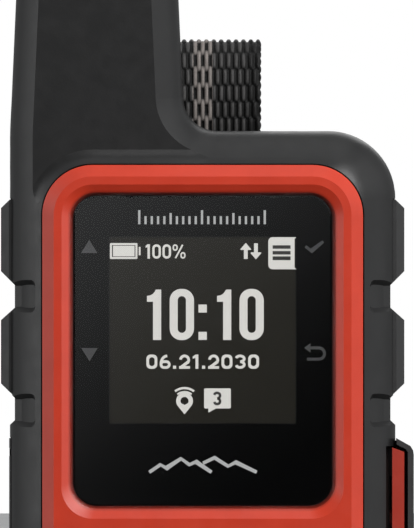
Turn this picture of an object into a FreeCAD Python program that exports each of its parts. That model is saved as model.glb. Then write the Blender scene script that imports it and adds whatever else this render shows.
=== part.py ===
import FreeCAD, Part
import Sketcher
import math
import os

# Handheld satellite GPS unit, in millimetres.
# Front of the unit faces -Y, +X is to the right seen from the front, +Z up.
# Origin: middle of the flat foot the unit stands on.

V = FreeCAD.Vector
doc = FreeCAD.newDocument("handheld_gps")
sheet = doc.addObject("Spreadsheet::Sheet", "Sizes")

SIZES = [
    # outline of the case seen from the front
    ("half_width", 24.2), ("base_drop", 1.2), ("shoulder_z", 65.3), ("top_z", 99.0),
    ("antenna_left_top", 22.7), ("antenna_root_x", 2.3), ("antenna_right_top", 3.8),
    ("foot_corner_r", 8.0), ("shoulder_corner_r", 8.4), ("root_fillet_r", 4.3),
    ("antenna_corner_r", 5.5), ("band_ratio", 1.17),
    # depth of the case
    ("front_y", -8.9), ("rear_y", 12.8), ("parting_y", 3.6), ("wall", 1.8),
    ("antenna_front_y", -7.8), ("antenna_rear_y", 9.9), ("plate_back_y", -5.6),
    ("rear_inner_y", 10.9), ("spine_y", 15.4), ("spine_half_w", 8.0),
    # bezel
    ("bezel_half_w", 20.08), ("bezel_low_z", 4.2), ("bezel_high_z", 61.0), ("bezel_r", 6.3),
    ("bezel_front_y", -10.7), ("bezel_back_y", -7.5), ("bezel_chamfer", 1.45), ("bezel_gap", 0.17),
    ("opening_half_w", 17.65), ("opening_low_z", 16.73), ("opening_high_z", 58.55), ("opening_r", 3.9),
    ("bevel_half_w", 16.65), ("bevel_low_z", 17.98), ("bevel_high_z", 57.55), ("bevel_r", 3.3),
    ("bevel_depth", 0.6),
    ("throat_half_w", 16.25), ("throat_low_z", 18.3), ("throat_high_z", 57.2), ("throat_r", 2.95),
    # lens and display
    ("lens_half_w", 16.1), ("lens_low_z", 18.4), ("lens_high_z", 57.1), ("lens_r", 2.8),
    ("lens_front_y", -9.2), ("lens_back_y", -8.1), ("mask_front_y", -8.04), ("mask_back_y", -7.95),
    ("window_half", 11.75), ("window_mid_z", 40.3),
    ("lcd_half_w", 13.4), ("lcd_low_z", 24.7), ("lcd_high_z", 54.1), ("lcd_front_y", -7.9), ("lcd_back_y", -6.3),
    ("light_back_y", -5.0),
    # inside
    ("frame_front_y", -4.9), ("frame_back_y", -3.9), ("board_front_y", -3.4), ("board_back_y", -2.4),
    ("board_half_w", 18.2), ("board_low_z", 12.5), ("board_high_z", 56.0),
    ("battery_half_w", 15.2), ("battery_low_z", 9.5), ("battery_high_z", 45.5),
    ("battery_front_y", 1.2), ("battery_back_y", 8.0),
    ("antenna_axis_x", -13.2), ("antenna_axis_y", 0.9), ("former_r", 5.4), ("former_low_z", 68.0), ("former_high_z", 90.5),
    ("coax_r", 0.6), ("lead_r", 0.5),
    # keys
    ("key_face_x", 25.33), ("key_front_y", -4.2), ("key_rear_y", 2.2), ("key_chamfer", 1.0),
    ("key_tail_x", 22.0), ("flange_in_x", 21.5), ("flange_out_x", 22.2), ("nub_tip_x", 20.75), ("nub_r", 1.1),
    ("notch_floor_x", 23.57), ("notch_depth", 0.65), ("slot_gap", 0.13),
    ("key_press", 0.4),
    # distress key
    ("sos_pin_x", 25.6), ("sos_pin_z", 7.3), ("sos_pin_r", 0.48), ("plinth_face_x", 25.3), ("plinth_floor_x", 23.05),
    ("plinth_front_y", -4.9), ("plinth_rear_y", 2.0), ("cover_skin", 0.74), ("cover_face_x", 26.5),
    # charging port
    ("usb_pin_x", -22.9), ("usb_pin_z", 8.3), ("usb_pin_r", 0.6), ("usb_mid_z", 17.4), ("usb_mid_y", -0.8),
    # rear mount
    ("screw_z", 38.0), ("insert_r", 3.25), ("insert_bore_r", 2.0), ("shank_r", 1.95), ("head_r", 4.5),
    ("adapter_half_w", 11.0), ("adapter_low_z", 24.0), ("adapter_high_z", 55.8), ("adapter_front_y", 12.95),
    ("adapter_rear_y", 18.5), ("bar_y", 15.9), ("bar_z", 59.0), ("bar_r", 1.1), ("bar_half_len", 10.8),
    ("strap_half_w", 7.5), ("strap_thick", 1.3), ("strap_top_z", 77.1), ("ring_wire_r", 0.7), ("ring_r", 5.45),
    ("boss_r", 2.4), ("screw_shank_r", 0.97), ("screw_head_r", 1.8),
]
D = {}
for i, (alias, value) in enumerate(SIZES):
    sheet.set("A%d" % (i + 1), alias)
    sheet.set("B%d" % (i + 1), repr(float(value)))
    sheet.setAlias("B%d" % (i + 1), alias)
    D[alias] = float(value)
doc.recompute()


class P:
    """a length taken from the sheet: factor * alias + extra"""
    def __init__(self, alias, factor=1.0, extra=0.0):
        self.alias, self.factor, self.extra = alias, factor, extra

    def value(self):
        return D[self.alias] * self.factor + self.extra

    def text(self):
        return "(%r*Sizes.%s + (%r))" % (self.factor, self.alias, self.extra)


def num(a):
    return a.value() if isinstance(a, P) else float(a)


def txt(a):
    return a.text() if isinstance(a, P) else "(%r)" % float(a)


def bind(obj, prop, a):
    if isinstance(a, P):
        obj.setExpression(prop, a.text())


def bind_diff(obj, prop, hi, lo):
    if isinstance(hi, P) or isinstance(lo, P):
        obj.setExpression(prop, "%s - %s" % (txt(hi), txt(lo)))


NODES = []


def node(obj, label):
    obj.Label = label
    NODES.append(obj)
    return obj


# ---------------------------------------------------------------- body helpers
class Maker:
    """one PartDesign body: pads and pockets from sketches on its own planes"""
    PLANES = {"XY": "XY_Plane", "XZ": "XZ_Plane", "YZ": "YZ_Plane"}

    def __init__(self, label):
        self.b = doc.addObject("PartDesign::Body", "Body_" + label)
        node(self.b, label)
        self.n = 0

    def sketch(self, plane, at):
        """plane XY at height z, XZ at depth y (local x=X, y=Z), YZ at x (local x=Y, y=Z)"""
        self.n += 1
        sk = self.b.newObject("Sketcher::SketchObject", "%s_sk%d" % (self.b.Name, self.n))
        pl = [o for o in self.b.Origin.OriginFeatures if o.Role == self.PLANES[plane]][0]
        sk.AttachmentSupport = [(pl, "")]
        sk.MapMode = "FlatFace"
        sign = -1.0 if plane == "XZ" else 1.0
        sk.AttachmentOffset = FreeCAD.Placement(V(0, 0, sign * num(at)), FreeCAD.Rotation())
        if isinstance(at, P):
            sk.setExpression("AttachmentOffset.Base.z", "%r * %s" % (sign, at.text()))
        return sk

    def rrect(self, sk, xl, xr, yb, yt, r):
        a, b_, c, d, rr = num(xl), num(xr), num(yb), num(yt), num(r)
        n = sk.GeometryCount
        C = Sketcher.Constraint
        if rr <= 0:
            pts = [(a, c), (b_, c), (b_, d), (a, d)]
            sk.addGeometry([Part.LineSegment(V(*pts[i], 0), V(*pts[(i + 1) % 4], 0)) for i in range(4)], False)
            sk.addConstraint([C("Coincident", n + i, 2, n + (i + 1) % 4, 1) for i in range(4)])
            sk.addConstraint([C("Horizontal", n), C("Horizontal", n + 2), C("Vertical", n + 1), C("Vertical", n + 3)])
            refs = [("xl", C("DistanceX", -1, 1, n + 3, 1, a), xl), ("xr", C("DistanceX", -1, 1, n + 1, 1, b_), xr),
                    ("yb", C("DistanceY", -1, 1, n, 1, c), yb), ("yt", C("DistanceY", -1, 1, n + 2, 1, d), yt)]
        else:
            g = [Part.LineSegment(V(a + rr, c, 0), V(b_ - rr, c, 0)),
                 Part.ArcOfCircle(Part.Circle(V(b_ - rr, c + rr, 0), V(0, 0, 1), rr), -math.pi / 2, 0),
                 Part.LineSegment(V(b_, c + rr, 0), V(b_, d - rr, 0)),
                 Part.ArcOfCircle(Part.Circle(V(b_ - rr, d - rr, 0), V(0, 0, 1), rr), 0, math.pi / 2),
                 Part.LineSegment(V(b_ - rr, d, 0), V(a + rr, d, 0)),
                 Part.ArcOfCircle(Part.Circle(V(a + rr, d - rr, 0), V(0, 0, 1), rr), math.pi / 2, math.pi),
                 Part.LineSegment(V(a, d - rr, 0), V(a, c + rr, 0)),
                 Part.ArcOfCircle(Part.Circle(V(a + rr, c + rr, 0), V(0, 0, 1), rr), math.pi, 1.5 * math.pi)]
            sk.addGeometry(g, False)
            cs = [C("Tangent", n + i, 2, n + (i + 1) % 8, 1) for i in range(8)]
            cs += [C("Horizontal", n), C("Horizontal", n + 4), C("Vertical", n + 2), C("Vertical", n + 6)]
            cs += [C("Equal", n + 1, n + 3), C("Equal", n + 1, n + 5), C("Equal", n + 1, n + 7)]
            sk.addConstraint(cs)
            refs = [("rr", C("Radius", n + 1, rr), r),
                    ("xl", C("DistanceX", -1, 1, n + 6, 1, a), xl), ("xr", C("DistanceX", -1, 1, n + 2, 1, b_), xr),
                    ("yb", C("DistanceY", -1, 1, n, 1, c), yb), ("yt", C("DistanceY", -1, 1, n + 4, 1, d), yt)]
        for key, con, a_ in refs:
            i = sk.addConstraint(con)
            nm = "%s%d" % (key, n)
            sk.renameConstraint(i, nm)
            if isinstance(a_, P):
                sk.setExpression("Constraints." + nm, a_.text())
        return sk

    def circle(self, sk, cx, cy, r):
        n = sk.GeometryCount
        C = Sketcher.Constraint
        sk.addGeometry(Part.Circle(V(num(cx), num(cy), 0), V(0, 0, 1), num(r)), False)
        for key, con, a_ in (("cr", C("Radius", n, num(r)), r), ("cx", C("DistanceX", -1, 1, n, 3, num(cx)), cx),
                             ("cy", C("DistanceY", -1, 1, n, 3, num(cy)), cy)):
            i = sk.addConstraint(con)
            nm = "%s%d" % (key, n)
            sk.renameConstraint(i, nm)
            if isinstance(a_, P):
                sk.setExpression("Constraints." + nm, a_.text())
        return sk

    def poly(self, sk, pts):
        n = sk.GeometryCount
        C = Sketcher.Constraint
        q = [(num(p[0]), num(p[1])) for p in pts]
        m = len(q)
        sk.addGeometry([Part.LineSegment(V(*q[i], 0), V(*q[(i + 1) % m], 0)) for i in range(m)], False)
        sk.addConstraint([C("Coincident", n + i, 2, n + (i + 1) % m, 1) for i in range(m)])
        for k, p in enumerate(pts):
            for key, kind, a_ in (("px", "DistanceX", p[0]), ("py", "DistanceY", p[1])):
                i = sk.addConstraint(C(kind, -1, 1, n + k, 1, num(a_)))
                nm = "%s%d" % (key, n + k)
                sk.renameConstraint(i, nm)
                if isinstance(a_, P):
                    sk.setExpression("Constraints." + nm, a_.text())
        return sk

    def pad(self, sk, length, hi=None, lo=None):
        self.n += 1
        f = self.b.newObject("PartDesign::Pad", "%s_pad%d" % (self.b.Name, self.n))
        f.Profile = sk
        f.Length = num(length) if hi is None else num(hi) - num(lo)
        if hi is not None:
            bind_diff(f, "Length", hi, lo)
        else:
            bind(f, "Length", length)
        self.b.Tip = f
        sk.Visibility = False
        return f

    def pocket(self, sk, length, hi=None, lo=None, flip=False):
        self.n += 1
        f = self.b.newObject("PartDesign::Pocket", "%s_poc%d" % (self.b.Name, self.n))
        f.Profile = sk
        f.Length = num(length) if hi is None else num(hi) - num(lo)
        if hi is not None:
            bind_diff(f, "Length", hi, lo)
        f.Reversed = flip
        self.b.Tip = f
        return f

    def slab(self, xl, xr, zb, zt, r, y0, y1):
        """rounded plate facing -Y between depths y0 (front) and y1 (back)"""
        return self.pad(self.rrect(self.sketch("XZ", y1), xl, xr, zb, zt, r), None, y1, y0)

    def slot(self, xl, xr, zb, zt, r, y0, y1):
        return self.pocket(self.rrect(self.sketch("XZ", y0), xl, xr, zb, zt, r), None, y1, y0)

    def edges(self, test):
        doc.recompute()
        out = []
        for i, e in enumerate(self.b.Tip.Shape.Edges):
            if all(test(v.Point) for v in e.Vertexes) and test(e.valueAt((e.FirstParameter + e.LastParameter) / 2)):
                out.append("Edge%d" % (i + 1))
        return out

    def chamfer(self, test, size):
        self.n += 1
        names = self.edges(test)
        base = self.b.Tip
        f = self.b.newObject("PartDesign::Chamfer", "%s_cha%d" % (self.b.Name, self.n))
        f.Base = (base, names)
        f.Size = num(size)
        bind(f, "Size", size)
        self.b.Tip = f
        return f

    def fillet(self, test, size):
        self.n += 1
        names = self.edges(test)
        base = self.b.Tip
        f = self.b.newObject("PartDesign::Fillet", "%s_fil%d" % (self.b.Name, self.n))
        f.Base = (base, names)
        f.Radius = num(size)
        bind(f, "Radius", size)
        self.b.Tip = f
        return f

    def tapered_pocket(self, sk0, sk1):
        self.n += 1
        f = self.b.newObject("PartDesign::SubtractiveLoft", "%s_lof%d" % (self.b.Name, self.n))
        f.Profile = sk0
        f.Sections = [sk1]
        f.Ruled = True
        self.b.Tip = f
        return f


def near(a, b, tol=1e-3):
    return abs(a - b) < tol


def box(label, x0, x1, y0, y1, z0, z1, keep=True):
    o = doc.addObject("Part::Box", "Box_" + label)
    for prop, hi, lo in (("Length", x1, x0), ("Width", y1, y0), ("Height", z1, z0)):
        setattr(o, prop, num(hi) - num(lo))
        bind_diff(o, prop, hi, lo)
    o.Placement = FreeCAD.Placement(V(num(x0), num(y0), num(z0)), FreeCAD.Rotation())
    for ax, a in (("x", x0), ("y", y0), ("z", z0)):
        if isinstance(a, P):
            o.setExpression("Placement.Base." + ax, a.text())
    if keep:
        node(o, label)
    return o


def cyl(label, radius, length, x, y, z, axis="Z", keep=True):
    o = doc.addObject("Part::Cylinder", "Cyl_" + label)
    o.Radius = num(radius)
    bind(o, "Radius", radius)
    o.Height = num(length)
    bind(o, "Height", length)
    rot = {"Z": FreeCAD.Rotation(), "X": FreeCAD.Rotation(V(0, 1, 0), 90), "Y": FreeCAD.Rotation(V(1, 0, 0), -90)}[axis]
    o.Placement = FreeCAD.Placement(V(num(x), num(y), num(z)), rot)
    for ax, a in (("x", x), ("y", y), ("z", z)):
        if isinstance(a, P):
            o.setExpression("Placement.Base." + ax, a.text())
    if keep:
        node(o, label)
    return o


def fused(label, objs):
    o = doc.addObject("Part::MultiFuse", "Fuse_" + label)
    o.Shapes = objs
    return node(o, label)


def group(label, objs):
    o = doc.addObject("Part::Compound", "Set_" + label)
    o.Links = objs
    return node(o, label)


def cut(label, base, tools, keep=True):
    o = base
    for k, t in enumerate(tools):
        c = doc.addObject("Part::Cut", "Cut_%s_%d" % (label, k))
        c.Base = o
        c.Tool = t
        o = c
    return node(o, label) if keep else o


def shape(label, s, place=None):
    o = doc.addObject("Part::Feature", "Form_" + label)
    o.Shape = s
    if place is not None:
        o.Placement = place
    return node(o, label)


# ------------------------------------------------------------ case outer form
HW = D["half_width"]
BASE = [(-HW, -D["base_drop"]), (HW, -D["base_drop"]), (HW, D["shoulder_z"]), (-D["antenna_root_x"], D["shoulder_z"]),
        (-D["antenna_right_top"], D["top_z"]), (-D["antenna_left_top"], D["top_z"]), (-HW, D["shoulder_z"] - 0.3)]
RAD = [D["foot_corner_r"], D["foot_corner_r"], D["shoulder_corner_r"], -D["root_fillet_r"],
       D["antenna_corner_r"], D["antenna_corner_r"], 30.0]
SC = [1, 1, 1, D["band_ratio"], 1, 1, 1]
FRONT = [(0.0, 0.0), (0.0, -1.5), (0.02, -3.0), (0.35, -4.5), (1.2, -6.0), (2.9, -7.8), (4.1, -8.74), (5.7, -9.3)]
REAR = [(0.0, 0.0), (0.0, 3.0), (0.05, 5.5), (0.5, 8.0), (1.9, 10.4), (4.6, D["rear_y"])]


def offset_poly(pts, d):
    n = len(pts)
    lines = []
    for i in range(n):
        p, q = pts[i], pts[(i + 1) % n]
        dx, dz = q[0] - p[0], q[1] - p[1]
        l = math.hypot(dx, dz)
        nx, nz = -dz / l, dx / l
        o = d * SC[i]
        lines.append(((p[0] + nx * o, p[1] + nz * o), (dx / l, dz / l)))
    out = []
    for i in range(n):
        (p, u), (q, v) = lines[i - 1], lines[i]
        den = u[0] * v[1] - u[1] * v[0]
        t = ((q[0] - p[0]) * v[1] - (q[1] - p[1]) * v[0]) / den
        out.append((p[0] + u[0] * t, p[1] + u[1] * t))
    return out


def rounded_wire(pts, radii, y):
    n = len(pts)
    corners = []
    for i in range(n):
        p0, p1, p2 = pts[i - 1], pts[i], pts[(i + 1) % n]
        a = (p0[0] - p1[0], p0[1] - p1[1])
        b = (p2[0] - p1[0], p2[1] - p1[1])
        la, lb = math.hypot(*a), math.hypot(*b)
        a = (a[0] / la, a[1] / la)
        b = (b[0] / lb, b[1] / lb)
        ang = math.acos(max(-1, min(1, a[0] * b[0] + a[1] * b[1])))
        r = radii[i]
        t = r / math.tan(ang / 2)
        s = (p1[0] + a[0] * t, p1[1] + a[1] * t)
        e = (p1[0] + b[0] * t, p1[1] + b[1] * t)
        bis = (a[0] + b[0], a[1] + b[1])
        lb2 = math.hypot(*bis)
        d = r / math.sin(ang / 2)
        c = (p1[0] + bis[0] / lb2 * d, p1[1] + bis[1] / lb2 * d)
        m = (c[0] - bis[0] / lb2 * r, c[1] - bis[1] / lb2 * r)
        corners.append((s, m, e))
    edges = []
    for i in range(n):
        s, m, e = corners[i]
        s2 = corners[(i + 1) % n][0]
        edges.append(Part.Arc(V(s[0], y, s[1]), V(m[0], y, m[1]), V(e[0], y, e[1])).toShape())
        edges.append(Part.LineSegment(V(e[0], y, e[1]), V(s2[0], y, s2[1])).toShape())
    return Part.Wire(edges)


def section(d, y):
    rad = [(-r + d) if r < 0 else max(0.7, r - d) for r in RAD]
    return rounded_wire(offset_poly(BASE, d), rad, y)


def offset_profile(prof, t):
    if t == 0:
        return prof
    out = []
    n = len(prof)
    for i, (d, y) in enumerate(prof):
        if i == 0:
            td = (prof[1][0] - d, prof[1][1] - y)
        elif i == n - 1:
            td = (d - prof[-2][0], y - prof[-2][1])
        else:
            td = (prof[i + 1][0] - prof[i - 1][0], prof[i + 1][1] - prof[i - 1][1])
        l = math.hypot(*td)
        td = (td[0] / l, td[1] / l)
        nd, ny = abs(td[1]), -math.copysign(abs(td[0]), y if y else td[1])
        out.append((d + nd * t, y + ny * t if i else 0.0))
    return out


def loft(prof):
    return Part.makeLoft([section(d, y) for d, y in prof], True, False)


def body(t=0.0):
    return loft(offset_profile(FRONT, t)).fuse(loft(offset_profile(REAR, t))).removeSplitter()


def flare(pts, far, dy=0.0, dz=0.0):
    """prism along X bounded by a spline in (y, z) and straight far corners"""
    pts = [(y + dy, z + dz) for y, z in pts]
    far = [(y + (dy if k == len(far) - 1 else 0), z + (dz if k == 0 else 0)) for k, (y, z) in enumerate(far)]
    sp = Part.BSplineCurve()
    sp.interpolate([V(-30, y, z) for y, z in pts])
    e = [sp.toShape()]
    chain = [pts[-1]] + far + [pts[0]]
    for a, b in zip(chain[:-1], chain[1:]):
        e.append(Part.LineSegment(V(-30, a[0], a[1]), V(-30, b[0], b[1])).toShape())
    return Part.Face(Part.Wire(e)).extrude(V(60, 0, 0))


AF, AR = D["antenna_front_y"], D["antenna_rear_y"]
FC_PTS = [(AF, 67.0), (AF, 65.0), (AF - 0.05, 63.9), (AF - 0.22, 62.9), (AF - 0.6, 62.0), (D["front_y"] - 0.02, 61.32)]
FC_FAR = [(-14.0, 61.32), (-14.0, 110.0), (AF, 110.0)]
RC_PTS = [(AR, 67.0), (AR + 0.15, 65.5), (AR + 0.7, 63.6), (AR + 1.7, 61.5), (D["rear_y"] + 0.05, 59.6)]
RC_FAR = [(16.0, 59.6), (16.0, 110.0), (AR - 1.9, 110.0)]


def bx(x0, x1, y0, y1, z0, z1):
    return Part.makeBox(x1 - x0, y1 - y0, z1 - z0, V(x0, y0, z0))


def rod(r, p, axis, length):
    return Part.makeCylinder(r, length, V(*p), V(*axis))


def plate(xl, xr, zb, zt, r, y0, y1):
    pts = [(xl, zb), (xr, zb), (xr, zt), (xl, zt)]
    return Part.Face(rounded_wire(pts, [r] * 4, y0)).extrude(V(0, y1 - y0, 0))


W = D["wall"]
# the antenna's flat front runs down round the bezel's corner and rises to it in a soft lip
BZW, BZL, BZH, BZR = D["bezel_half_w"], D["bezel_low_z"], D["bezel_high_z"], D["bezel_r"]
LIP = [(-0.5, -9.8), (0.1, -8.97), (0.6, -8.47), (1.1, -8.10), (1.7, -7.86), (2.5, -7.60)]
lip = Part.makeLoft([rounded_wire([(-BZW - o, BZL - o), (BZW + o, BZL - o), (BZW + o, BZH + o), (-BZW - o, BZH + o)], [BZR + o] * 4, y)
                     for o, y in LIP], True, False)
front_cut = bx(-40, 12, -14, AF, 52.0, 110).cut(lip)
outer = body(0).cut(front_cut).cut(flare(RC_PTS, RC_FAR))
outer = outer.common(bx(-40, 40, -40, 40, 0, 120))
cavity = body(W).cut(flare(FC_PTS, FC_FAR, W, -1.0)).cut(flare(RC_PTS, RC_FAR, -W, -1.0))
cavity = cavity.common(bx(-40, 40, D["plate_back_y"], D["rear_inner_y"], W, 120))
shell = outer.cut(cavity)

BOSSES = [(-18.9, 8.6), (18.9, 8.6), (18.9, 59.6), (-19.4, 60.5), (-13.2, 94.3)]
PY = D["parting_y"]
PX, PZ = D["sos_pin_x"], D["sos_pin_z"]
UX, UZ = D["usb_pin_x"], D["usb_pin_z"]
UY, UM = D["usb_mid_y"], D["usb_mid_z"]
KY0, KY1 = D["key_front_y"], D["key_rear_y"]
GAP = D["slot_gap"]

# ------------------------------------------------------------- front housing
front = shell.common(bx(-40, 40, -40, PY, -5, 120))
solid_front = outer.common(bx(-40, 40, -40, PY, -5, 120))
adds = [bx(-22.6, -21.4, -5.7, PY, 4.5, 28.5), bx(-22.6, -20.6, -5.7, PY, 4.0, 11.2), bx(21.4, 22.6, -5.7, PY, 4.0, 28.0)]
adds += [rod(D["boss_r"], (x, -5.7, z), (0, 1, 0), PY + 5.7) for x, z in BOSSES]
for a in adds:
    front = front.fuse(a.common(solid_front))
g = D["bezel_gap"]
BW = D["bezel_half_w"] + g
cuts = [plate(-BW, BW, D["bezel_low_z"] - g, D["bezel_high_z"] + g, D["bezel_r"] + g, -12, D["bezel_back_y"]),
        plate(-13.9, 13.9, 24.2, 54.6, 0.8, -9, -5),
        bx(-6, 6, -9, -5, 22.6, 25)]
cuts += [rod(1.0, (x, -3.0, z), (0, 1, 0), PY + 4) for x, z in BOSSES]
# key windows and the notches between the keys
KEYS = [(45.95, 56.7), (31.92, 43.12)]
skin = body(D["notch_depth"])
NOTCHES = [(42.5, 46.6), (28.15, 32.35)]


def waist(sx, z0, z1):
    """the step in the side outline between the keys, right through both halves"""
    xf = D["notch_floor_x"]
    lo = z0 + 0.85 if z0 < 40 else z0 + 0.5
    pts = [(xf, lo), (xf + 0.63, lo - 0.6), (xf + 4.0, lo - 0.6), (xf + 4.0, z1 + 0.05), (xf + 0.63, z1 + 0.05), (xf, z1 - 0.55)]
    pts = [V(sx * a, -12, b) for a, b in pts]
    return Part.Face(Part.makePolygon(pts + [pts[0]])).extrude(V(0, 26, 0))


for sx in (-1, 1):
    for z0, z1 in KEYS:
        xa, xb = sorted((sx * 20.8, sx * 27.0))
        cuts.append(bx(xa, xb, KY0 - GAP, KY1 + GAP, z0 - GAP, z1 + GAP))
    for z0, z1 in NOTCHES:
        # recess with slanted walls in the slanted flank
        def ring(dep, z0=z0, z1=z1):
            k = 0.92 * dep
            return rounded_wire([(k, z0 + k), (9.0, z0 + k), (9.0, z1 - k), (k, z1 - k)], [0.75 - 0.3 * dep, 0.3, 0.3, 0.75 - 0.3 * dep], dep)
        w = Part.makeLoft([ring(-0.9), ring(0.8)], True, True)
        w.rotate(V(0, 0, 0), V(0, 0, 1), 45)
        w.translate(V(20.98, -8.15, 0))
        if sx < 0:
            w = w.mirror(V(0, 0, 0), V(1, 0, 0))
        cuts.append(w.common(bx(-30, 30, -12, 3.2, 0, 80)).cut(skin))
        cuts.append(waist(sx, z0, z1))
# seat of the distress key surround, and the hole for its key stem
cuts.append(bx(23.0, 30, -9.0, D["plinth_rear_y"] + 0.12, 5.68, 25.75))
cuts.append(rod(1.35, (20.5, -1.5, 16.5), (1, 0, 0), 5))
# seat of the charging port cover, its hinge pin and the port itself
cuts.append(bx(-30, -23.1, -4.0, 2.4, UZ - 1.55, 26.85))
cuts.append(bx(-30, UX, -4.0, 2.4, UZ - 1.55, UZ))
cuts.append(rod(1.5, (UX, -4.0, UZ), (0, 1, 0), 6.4))
cuts.append(rod(D["usb_pin_r"], (UX, -4.6, UZ), (0, 1, 0), 7.6))
port = Part.Face(rounded_wire([(UY - 1.95, UM - 4.8), (UY + 1.95, UM - 4.8), (UY + 1.95, UM + 4.8), (UY - 1.95, UM + 4.8)], [1.9] * 4, 0))
port.rotate(V(0, 0, 0), V(0, 0, 1), 90)
port = port.extrude(V(-12, 0, 0))
port.translate(V(-19.0, 0, 0))
cuts.append(port)
# power key window and light pipe hole in the shoulder
pk = Part.makeBox(9.2, 4.0, 6.0, V(3.2, -2.5, 61.5))
pk = pk.makeFillet(1.95, [e for e in pk.Edges if near(e.Vertexes[0].X, e.Vertexes[-1].X) and near(e.Vertexes[0].Y, e.Vertexes[-1].Y)])
pk_gap = Part.makeBox(9.2 + 2 * GAP, 4.0 + 2 * GAP, 6.0, V(3.2 - GAP, -2.5 - GAP, 61.5))
pk_gap = pk_gap.makeFillet(1.95 + GAP, [e for e in pk_gap.Edges if near(e.Vertexes[0].X, e.Vertexes[-1].X) and near(e.Vertexes[0].Y, e.Vertexes[-1].Y)])
cuts.append(pk_gap)
cuts.append(rod(0.82, (15.0, -0.5, 60.0), (0, 0, 1), 8))
# groove for the case seal
seal_out = Part.Face(section(0.9, PY - 0.6)).extrude(V(0, 0.6, 0))
seal_in = Part.Face(section(1.4, PY - 0.7)).extrude(V(0, 0.8, 0))
seal_ring = seal_out.cut(seal_in).common(bx(-40, 40, -40, 40, 0.55, 120))
seal_low = bx(-18.9, 18.9, PY - 0.6, PY, 0.55, 1.15).common(seal_out)
seal = seal_ring.fuse(seal_low).removeSplitter()
cuts.append(seal)
for c in cuts:
    front = front.cut(c)
# guard rib behind the distress cover
rib = [V(x, 2.33, z) for x, z in ((23.4, 8.4), (26.2, 8.4), (26.2, 24.95), (25.95, 25.5), (24.1, 26.5), (23.4, 26.5))]
front = front.fuse(Part.Face(Part.makePolygon(rib + [rib[0]])).extrude(V(0, 1.2, 0)))
shape("front_housing", front.removeSplitter())
shape("housing_seal", seal)

# -------------------------------------------------------------- rear housing
rear = shell.common(bx(-40, 40, PY, 40, -5, 120))
solid_rear = outer.common(bx(-40, 40, PY, 40, -5, 120))
for x, z in BOSSES:
    rear = rear.fuse(rod(D["boss_r"], (x, PY, z), (0, 1, 0), 12).common(solid_rear))
SZ = D["screw_z"]
rear = rear.fuse(rod(5.2, (0, 8.6, SZ), (0, 1, 0), 3.5))
SW = D["spine_half_w"]
spine = plate(-SW, SW, 20.0, 56.0, 3.0, 12.0, D["spine_y"])
spine = spine.makeChamfer(0.5, [e for e in spine.Edges if near(e.Vertexes[0].Y, D["spine_y"]) and near(e.Vertexes[-1].Y, D["spine_y"])])
rear = rear.fuse(spine)
rc = [rod(D["insert_r"], (0, 9.0, SZ), (0, 1, 0), 10)]
SCREW_SEAT = [8.0, 8.0, 8.0, 7.6, 5.4]
for (x, z), yh in zip(BOSSES, SCREW_SEAT):
    rc.append(rod(1.1, (x, PY - 1, z), (0, 1, 0), 15))
    rc.append(rod(D["screw_head_r"] + 0.15, (x, yh, z), (0, 1, 0), 12))
rc.append(rod(0.6, (13.0, 9.0, 20.0), (0, 1, 0), 6))
# grip ribs moulded in the lower back, beside the spine
for sx in (-1, 1):
    for k in range(5):
        zc = 12.0 + 5.2 * k
        rc.append(plate(min(sx * 10.5, sx * 18.5), max(sx * 10.5, sx * 18.5), zc, zc + 1.6, 0.7, 12.35, 14.0).cut(bx(11.9, 14.1, 11, 15, 18.9, 21.1)))
rc += [waist(sx, z0, z1) for sx in (-1, 1) for z0, z1 in NOTCHES]
for c in rc:
    rear = rear.cut(c)
shape("rear_housing", rear.removeSplitter())

# ------------------------------------------------------------------- bezel
m = Maker("bezel_frame")
m.slab(P("bezel_half_w", -1), P("bezel_half_w"), P("bezel_low_z"), P("bezel_high_z"), P("bezel_r"),
       P("bezel_front_y"), P("bezel_back_y"))
m.chamfer(lambda p: near(p.y, D["bezel_front_y"]), P("bezel_chamfer"))
m.tapered_pocket(
    m.rrect(m.sketch("XZ", P("bezel_front_y")), P("opening_half_w", -1), P("opening_half_w"), P("opening_low_z"), P("opening_high_z"), P("opening_r")),
    m.rrect(m.sketch("XZ", P("bezel_front_y", 1, D["bevel_depth"])), P("bevel_half_w", -1), P("bevel_half_w"), P("bevel_low_z"), P("bevel_high_z"), P("bevel_r")))
m.tapered_pocket(
    m.rrect(m.sketch("XZ", P("bezel_front_y", 1, D["bevel_depth"])), P("bevel_half_w", -1), P("bevel_half_w"), P("bevel_low_z"), P("bevel_high_z"), P("bevel_r")),
    m.rrect(m.sketch("XZ", P("lens_front_y", 1, 0.0)), P("throat_half_w", -1), P("throat_half_w"), P("throat_low_z"), P("throat_high_z"), P("throat_r")))
m.slot(P("throat_half_w", -1), P("throat_half_w"), P("throat_low_z"), P("throat_high_z"), P("throat_r"), P("lens_front_y"), P("bezel_back_y", 1, 0.2))

# ------------------------------------------------------------ lens and display
m = Maker("display_lens")
m.slab(P("lens_half_w", -1), P("lens_half_w"), P("lens_low_z"), P("lens_high_z"), P("lens_r"), P("lens_front_y"), P("lens_back_y"))
m.chamfer(lambda p: near(p.y, D["lens_front_y"]), 0.12)

m = Maker("lens_mask")
m.slab(P("lens_half_w", -1, 0.1), P("lens_half_w", 1, -0.1), P("lens_low_z", 1, 0.1), P("lens_high_z", 1, -0.1), P("lens_r", 1, -0.1), P("mask_front_y"), P("mask_back_y"))
m.slot(P("window_half", -1), P("window_half"), P("window_mid_z", 1, -11.75), P("window_mid_z", 1, 11.75), 0.25, P("mask_front_y"), P("mask_back_y", 1, 0.05))

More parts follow.
